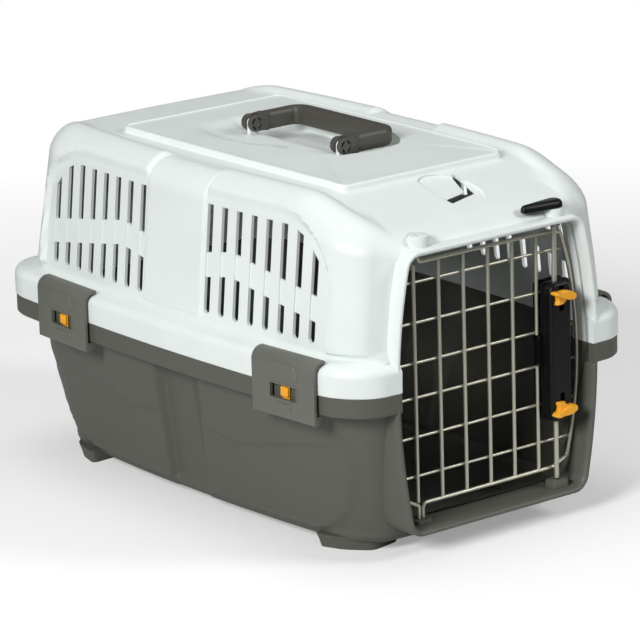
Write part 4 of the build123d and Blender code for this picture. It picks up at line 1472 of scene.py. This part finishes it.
@dataclass
class Lever:
    """Black safety lever over the upper bolt."""

    low: float = 292.0
    shaft_radius: float = 5.6
    bore_radius: float = 3.2

    def build(self) -> bpy.types.Object:
        """Make the lever with its domed plate, shaft and open hook.

        Returns:
            The lever.
        """
        dome = ((0.6, 0.0), (0.0, 0.7), (0.0, 3.4), (0.6, 5.2), (1.6, 6.4), (2.8, 7.0))
        layers = [(teardrop(8.2 - shrink, 3.6 - shrink, 34.0, ROD), self.low + height)
                  for shrink, height in dome]
        plate = stacked("lever_plate", layers, upright, angle=50)
        shaft = prism("lever_shaft", disc(self.shaft_radius, ROD), 275.0, self.low + 1.0, upright)
        carve(shaft, [prism("bore", disc(self.bore_radius, ROD), 270.0, 287.5, upright)])
        mouth = rectangle(2 * self.bore_radius, 12.0, (ROD[0], ROD[1] - 6.0))
        carve(shaft, [prism("mouth", mouth, 270.0, 281.0, upright)])
        return joined("lever_shape", [plate, shaft])


@dataclass
class ThumbTab:
    """Yellow winged tab on one bolt."""

    name: str
    height: float
    flip: int

    def build(self) -> bpy.types.Object:
        """Make the tab.

        Returns:
            The tab.
        """
        wing = [(-14.0, 6.2), (-11.6, 7.6), (-6.0, 6.6), (0.0, 7.2), (6.0, 6.2), (11.6, 3.0), (10.4, -1.4),
                (3.4, -1.8), (-8.6, 2.4), (-12.4, 4.2)]
        beak = [(-9.0, 3.4), (1.4, 0.6), (2.4, -1.8), (-2.6, -5.6), (-9.4, -5.6), (-7.6, -1.0)]
        plates = []
        for corners, front in ((wing, -276.8), (beak, -273.4)):
            placed = [(ROD[0] + x, self.height + self.flip * z) for x, z in corners]
            outline = rounded_outline(placed, 1.6)
            small = rounded_outline(placed, 1.6, 0.8)
            layers = ((small, -267.6), (outline, -268.4), (outline, front + 1.2), (small, front))
            plates.append(stacked("tab_plate", layers, facing_front, angle=50))
        stem = prism("tab_stem", rectangle(5.0, 8.6, (ROD[0], self.height)), -269.0, -260.0, facing_front)
        return joined(f"{self.name}_thumb_tab_shape", [*plates, rounded(stem, 0.4, 2)])


@dataclass
class Carrier:
    """The whole carrier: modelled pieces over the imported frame."""

    nodes: dict[str, bpy.types.Object]
    materials: dict[Slot, bpy.types.Material] = field(
        default_factory=lambda: {finish.slot: finish.build() for finish in FINISHES})

    corners = (ClipPlace("front_left", -1, -1), ClipPlace("front_right", 1, -1),
               ClipPlace("rear_left", -1, 1, 147.0), ClipPlace("rear_right", 1, 1, 147.0))
    kept = {
        "door_frame_wire": Slot.WIRE, "door_hinge_wire": Slot.WIRE, "door_upright_wires": Slot.WIRE,
        "door_cross_wires": Slot.WIRE, "lock_cover": Slot.BLACK, "lock_back_plate": Slot.BLACK,
        "lock_screws": Slot.STEEL, "upper_bolt": Slot.WIRE, "lower_bolt": Slot.WIRE,
        "upper_bolt_spring": Slot.STEEL, "lower_bolt_spring": Slot.STEEL, "handle_pivot_pins": Slot.STEEL,
    }

    def dress(self, item: bpy.types.Object, slot: Slot, body: str, *stands_for: str) -> None:
        """Give a piece its material and body.

        Args:
            item: The piece.
            slot: Its material slot.
            body: The body it rides on.
            stands_for: Nodes that it replaces.
        """
        item.data.materials.clear()
        item.data.materials.append(self.materials[slot])
        for polygon in item.data.polygons:
            polygon.material_index = 0
        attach(item, body)
        if stands_for:
            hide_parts(*stands_for)
        LOG.info("%s: %d faces", item.name, len(item.data.polygons))

    def build(self) -> None:
        """Make and dress every piece."""
        for name, slot in self.kept.items():
            node = self.nodes[name]
            node.data.materials.clear()
            node.data.materials.append(self.materials[slot])
        self.shells()
        for place in self.corners:
            clip = SideClip(place)
            self.dress(clip.build(), Slot.CLIP, f"clip_{place.name}", f"clip_{place.name}")
            self.dress(clip.slider(), Slot.YELLOW, f"slider_{place.name}", f"slider_{place.name}")
        self.dress(Handle().build(), Slot.HANDLE, "handle", "carry_handle")
        self.dress(Lever().build(), Slot.BLACK, "safety_lever", "safety_lever")
        self.dress(ThumbTab("upper", 209.5, 1).build(), Slot.YELLOW, "upper_bolt", "upper_thumb_tab")
        self.dress(ThumbTab("lower", 107.0, -1).build(), Slot.YELLOW, "lower_bolt", "lower_thumb_tab")

    def shells(self) -> None:
        """Make both shells with the small parts moulded on them."""
        self.dress(Cover().build(), Slot.COVER, "carrier", "upper_shell")
        self.dress(DOORWAY.portal(Part.COVER, -245.0), Slot.COVER, "carrier")
        self.dress(self.tongues(), Slot.COVER, "carrier")
        self.dress(self.head_bosses(), Slot.COVER, "carrier")
        self.dress(Tub().build(), Slot.TUB, "carrier", "lower_shell")
        self.dress(Tub().feet(), Slot.TUB, "carrier")
        self.dress(DOORWAY.portal(Part.TUB, -234.0), Slot.TUB, "carrier")
        self.dress(self.sill_pads(), Slot.TUB, "carrier")
        self.dress(self.clip_bars(), Slot.TUB, "carrier")

    def tongues(self) -> bpy.types.Object:
        """Make the two tongues that the handle turns on.

        Returns:
            The tongues.
        """
        radius = 4.5
        foot = 311.0
        outline = arc(PIVOT, radius, 0.0, pi, 13) + [(PIVOT[0] - radius, foot), (PIVOT[0] + radius, foot)]
        return joined("handle_tongues", [prism("tongue", outline, middle - 2.2, middle + 2.2, facing_front)
                                         for middle in (-72.5, 60.5)])

    def head_bosses(self) -> bpy.types.Object:
        """Make the bosses under the lever and its unused twin, and the top hinge pad.

        Returns:
            The bosses.
        """
        items = []
        for side, top, bore in ((1, 291.6, SHAFT_BORE), (-1, 294.5, 3.0)):
            middle = (side * ROD[0], ROD[1])
            boss = rounded(prism("boss", disc(9.6, middle), 281.5, top, upright), 0.6, 2)
            carve(boss, [prism("bore", disc(bore, middle), 275.0, 300.0, upright)])
            if side < 0:
                carve(boss, [hinge_hole()])
            items.append(boss)
        return joined("head_bosses", items)

    def sill_pads(self) -> bpy.types.Object:
        """Make the keeper lug and the lower hinge pad on the sill.

        Returns:
            The pads.
        """
        items = []
        for middle, top, bore in ((ROD, 36.0, 2.4), (HINGE, 32.0, HINGE_BORE)):
            outline = rounded_outline(rectangle(18.0, 14.0, middle), 3.0)
            lug = rounded(prism("lug", outline, 23.0, top, upright), 0.7, 2)
            carve(lug, [prism("bore", disc(bore, middle), 24.0, 50.0, upright)])
            items.append(lug)
        return joined("sill_pads", items)

    def clip_bars(self) -> bpy.types.Object:
        """Make the bars and lugs that the side clips hang on.

        Returns:
            The bars.
        """
        radius = 3.2
        root = 143.0
        lug = arc(CLIP_AXIS, radius, -pi, 0.0, 13)
        lug += [(CLIP_AXIS[0] + radius, root), (CLIP_AXIS[0] - radius, root)]
        items = []
        for place in self.corners:
            items.append(prism("bar", disc(2.2, CLIP_AXIS, 24), -40.6, 40.6, place.sideways))
            items += [prism("lug", lug, middle - 3.0, middle + 3.0, place.sideways)
                      for middle in (-24.0, 24.0)]
        return joined("clip_bars", items)


def main() -> None:
    """Load the frame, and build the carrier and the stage."""
    logging.basicConfig(level=logging.INFO, format="%(message)s")
    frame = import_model()
    Carrier(frame["nodes"]).build()
    Studio().build()


if __name__ == "__main__":
    main()
